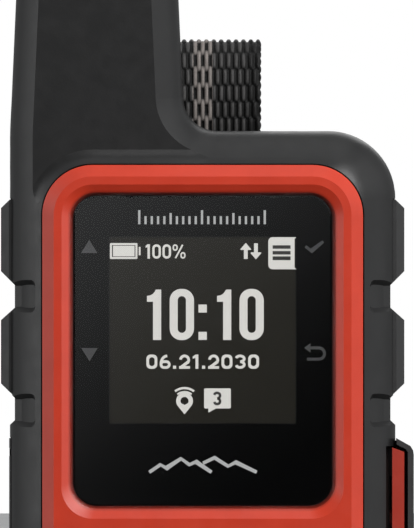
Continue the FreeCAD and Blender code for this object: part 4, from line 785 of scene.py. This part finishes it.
# painted shade: low yarn height mixes the colour towards near-black; the selvedge band is darker still
gap = maprange(t, at.outputs["Fac"], 0.38, 0.84, 0.0, 1.0)
selv = maprange(t, ab.outputs[0], 5.2 * MM, 6.1 * MM, 1.0, 0.15)
hollow_shade_mul = t.nodes.new("ShaderNodeMath")
hollow_shade_mul.operation = "MULTIPLY"
t.links.new(gap, hollow_shade_mul.inputs[0])
t.links.new(selv, hollow_shade_mul.inputs[1])
gap = hollow_shade_mul.outputs[0]
# the near-black colour below is painted shade in the hollows, not a yarn colour
col = t.nodes.new("ShaderNodeMix")
col.data_type = "RGBA"
col.inputs["A"].default_value = (0.0012, 0.0011, 0.0011, 1)
t.links.new(gap, col.inputs["Factor"])
t.links.new(pick.outputs["Result"], col.inputs["B"])
t.links.new(col.outputs["Result"], p.inputs["Base Color"])
p.inputs["Roughness"].default_value = 0.62
p.inputs["Specular IOR Level"].default_value = 0.25
p.inputs["Sheen Weight"].default_value = 0.12
p.inputs["Sheen Roughness"].default_value = 0.4
t.links.new(bump(t, fibre, 0.5, 0.00004), p.inputs["Normal"])
M["webbing"] = m

STEP = 0.14
strap = webbing("woven_loop", loop, True, 7.42, TH / 2, TH / 2, STEP)
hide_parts("webbing_strap")
# sewn lap on the rear layer
rear_side = [Vector((BY + q.x, q.y)) for q in side if 61.0 <= q.y <= 69.5]
lap = []
for i, q in enumerate(rear_side):
    a = rear_side[max(0, i - 1)]
    b = rear_side[min(len(rear_side) - 1, i + 1)]
    tg = (b - a).normalized()
    lap.append(q + Vector((tg.y, -tg.x)) * (TH * 0.97))
lap_o = webbing("sewn_lap", lap[::-1], False, 7.35, 0.58, 0.6, STEP)


def capsule(bm, a, b, r, n=8):
    a, b = Vector(a), Vector(b)
    ax = (b - a).normalized()
    u = ax.orthogonal().normalized()
    w = ax.cross(u)
    rings = []
    L = (b - a).length
    for tpos, rr_ in ((-0.9 * r, 0.35 * r), (-0.45 * r, 0.8 * r), (0.15 * r, r), (L - 0.15 * r, r), (L + 0.45 * r, 0.8 * r), (L + 0.9 * r, 0.35 * r)):
        c = a + ax * tpos
        rings.append([bm.verts.new(c + (u * math.cos(2 * math.pi * k / n) + w * math.sin(2 * math.pi * k / n)) * rr_) for k in range(n)])
    for r1, r2 in zip(rings[:-1], rings[1:]):
        for k in range(n):
            bm.faces.new((r1[k], r1[(k + 1) % n], r2[(k + 1) % n], r2[k]))
    bm.faces.new(rings[0][::-1])
    bm.faces.new(rings[-1])


lap_pts, lap_len = resample(lap, 0.05, False)


def on_lap(x, s, out):
    k = min(len(lap_pts) - 2, max(0, int(s / lap_len * (len(lap_pts) - 1))))
    tg = (lap_pts[k + 1] - lap_pts[k]).normalized()
    q = lap_pts[k] + Vector((tg.y, -tg.x)) * out
    return Vector((x * MM, q.x * MM, q.y * MM))


bm = bmesh.new()
for s_row in (1.0, lap_len - 1.0):
    for k in range(9):
        xa = -6.3 + k * 1.42
        capsule(bm, on_lap(xa, s_row, 0.60), on_lap(xa + 1.05, s_row, 0.60), 0.16 * MM)
for xs in (-6.45, 6.45):
    k = 0
    while 1.35 + k * 1.42 + 1.0 < lap_len - 1.0:
        capsule(bm, on_lap(xs, 1.3 + k * 1.42, 0.60), on_lap(xs, 1.3 + k * 1.42 + 1.05, 0.60), 0.16 * MM)
        k += 1
for sgn in (-1, 1):
    for k in range(7):
        u0, u1 = (k + 0.15) / 7, (k + 0.85) / 7
        capsule(bm, on_lap(sgn * (-5.6 + 11.2 * u0), 1.5 + (lap_len - 3.0) * u0, 0.62), on_lap(sgn * (-5.6 + 11.2 * u1), 1.5 + (lap_len - 3.0) * u1, 0.62), 0.16 * MM)
me = bpy.data.meshes.new("lap_stitches")
bm.to_mesh(me)
bm.free()
M["thread"] = moulded("thread", (0.05, 0.05, 0.052), (0.11, 0.11, 0.11), rough=(0.6, 0.75), grain=9000, strength=0.6)
st = link(me, "lap_stitches", "thread", "strap", smooth=True)

# ------------------------------------------------------------------- stage
me = bpy.data.meshes.new("floor")
me.from_pydata([(-1.1, -1.1, 0), (1.1, -1.1, 0), (1.1, 1.1, 0), (-1.1, 1.1, 0)], [], [(0, 1, 2, 3)])
floor_m, t, p = new_mat("floor_paper")
v = coords(t)
t.links.new(ramp(t, noise(t, v, 40.0, 3.0), [(0.3, (0.80, 0.80, 0.80)), (0.7, (0.84, 0.84, 0.84))]), p.inputs["Base Color"])
p.inputs["Roughness"].default_value = 0.8
M["floor"] = floor_m
fl = link(me, "floor", "floor", None)
fl.location = (0, 0, -0.00002)
fl.visible_diffuse = False
fl.visible_glossy = False

# soft reflection card before the window: brighter towards the upper left
me = bpy.data.meshes.new("reflection_card")
cw, c0, c1, cy = 0.045, 0.0, 0.10, -0.32
me.from_pydata([(-cw, cy, c0), (cw, cy, c0), (cw, cy, c1), (-cw, cy, c1)], [], [(0, 1, 2, 3)])
card_m = bpy.data.materials.new("card_light")
card_m.use_nodes = True
t = card_m.node_tree
t.nodes.clear()
out = t.nodes.new("ShaderNodeOutputMaterial")
em = t.nodes.new("ShaderNodeEmission")
t.links.new(em.outputs[0], out.inputs["Surface"])
v = coords(t)
sep = t.nodes.new("ShaderNodeSeparateXYZ")
t.links.new(v, sep.inputs[0])
gx = maprange(t, sep.outputs["X"], -18 * MM, 18 * MM, 0.0, 0.42)
gz = maprange(t, sep.outputs["Z"], 58.0 * MM, 16.0 * MM, 0.0, 0.58)
add = t.nodes.new("ShaderNodeMath")
add.operation = "ADD"
t.links.new(gx, add.inputs[0])
t.links.new(gz, add.inputs[1])
CARD = [(0.0, 0.84), (0.09, 0.74), (0.237, 0.54), (0.40, 0.32), (0.50, 0.215), (0.55, 0.155), (0.63, 0.10), (0.72, 0.05), (0.884, 0.003), (1.0, 0.0)]
c = ramp(t, add.outputs[0], [(a_, (b_, b_ * 1.01, b_ * 1.02)) for a_, b_ in CARD])
t.links.new(c, em.inputs["Color"])
em.inputs["Strength"].default_value = 1.0
M["card"] = card_m
card_o = link(me, "reflection_card", "card", None)
card_o.visible_camera = False
card_o.visible_diffuse = False
card_o.visible_transmission = False
card_o.visible_volume_scatter = False
card_o.visible_shadow = False
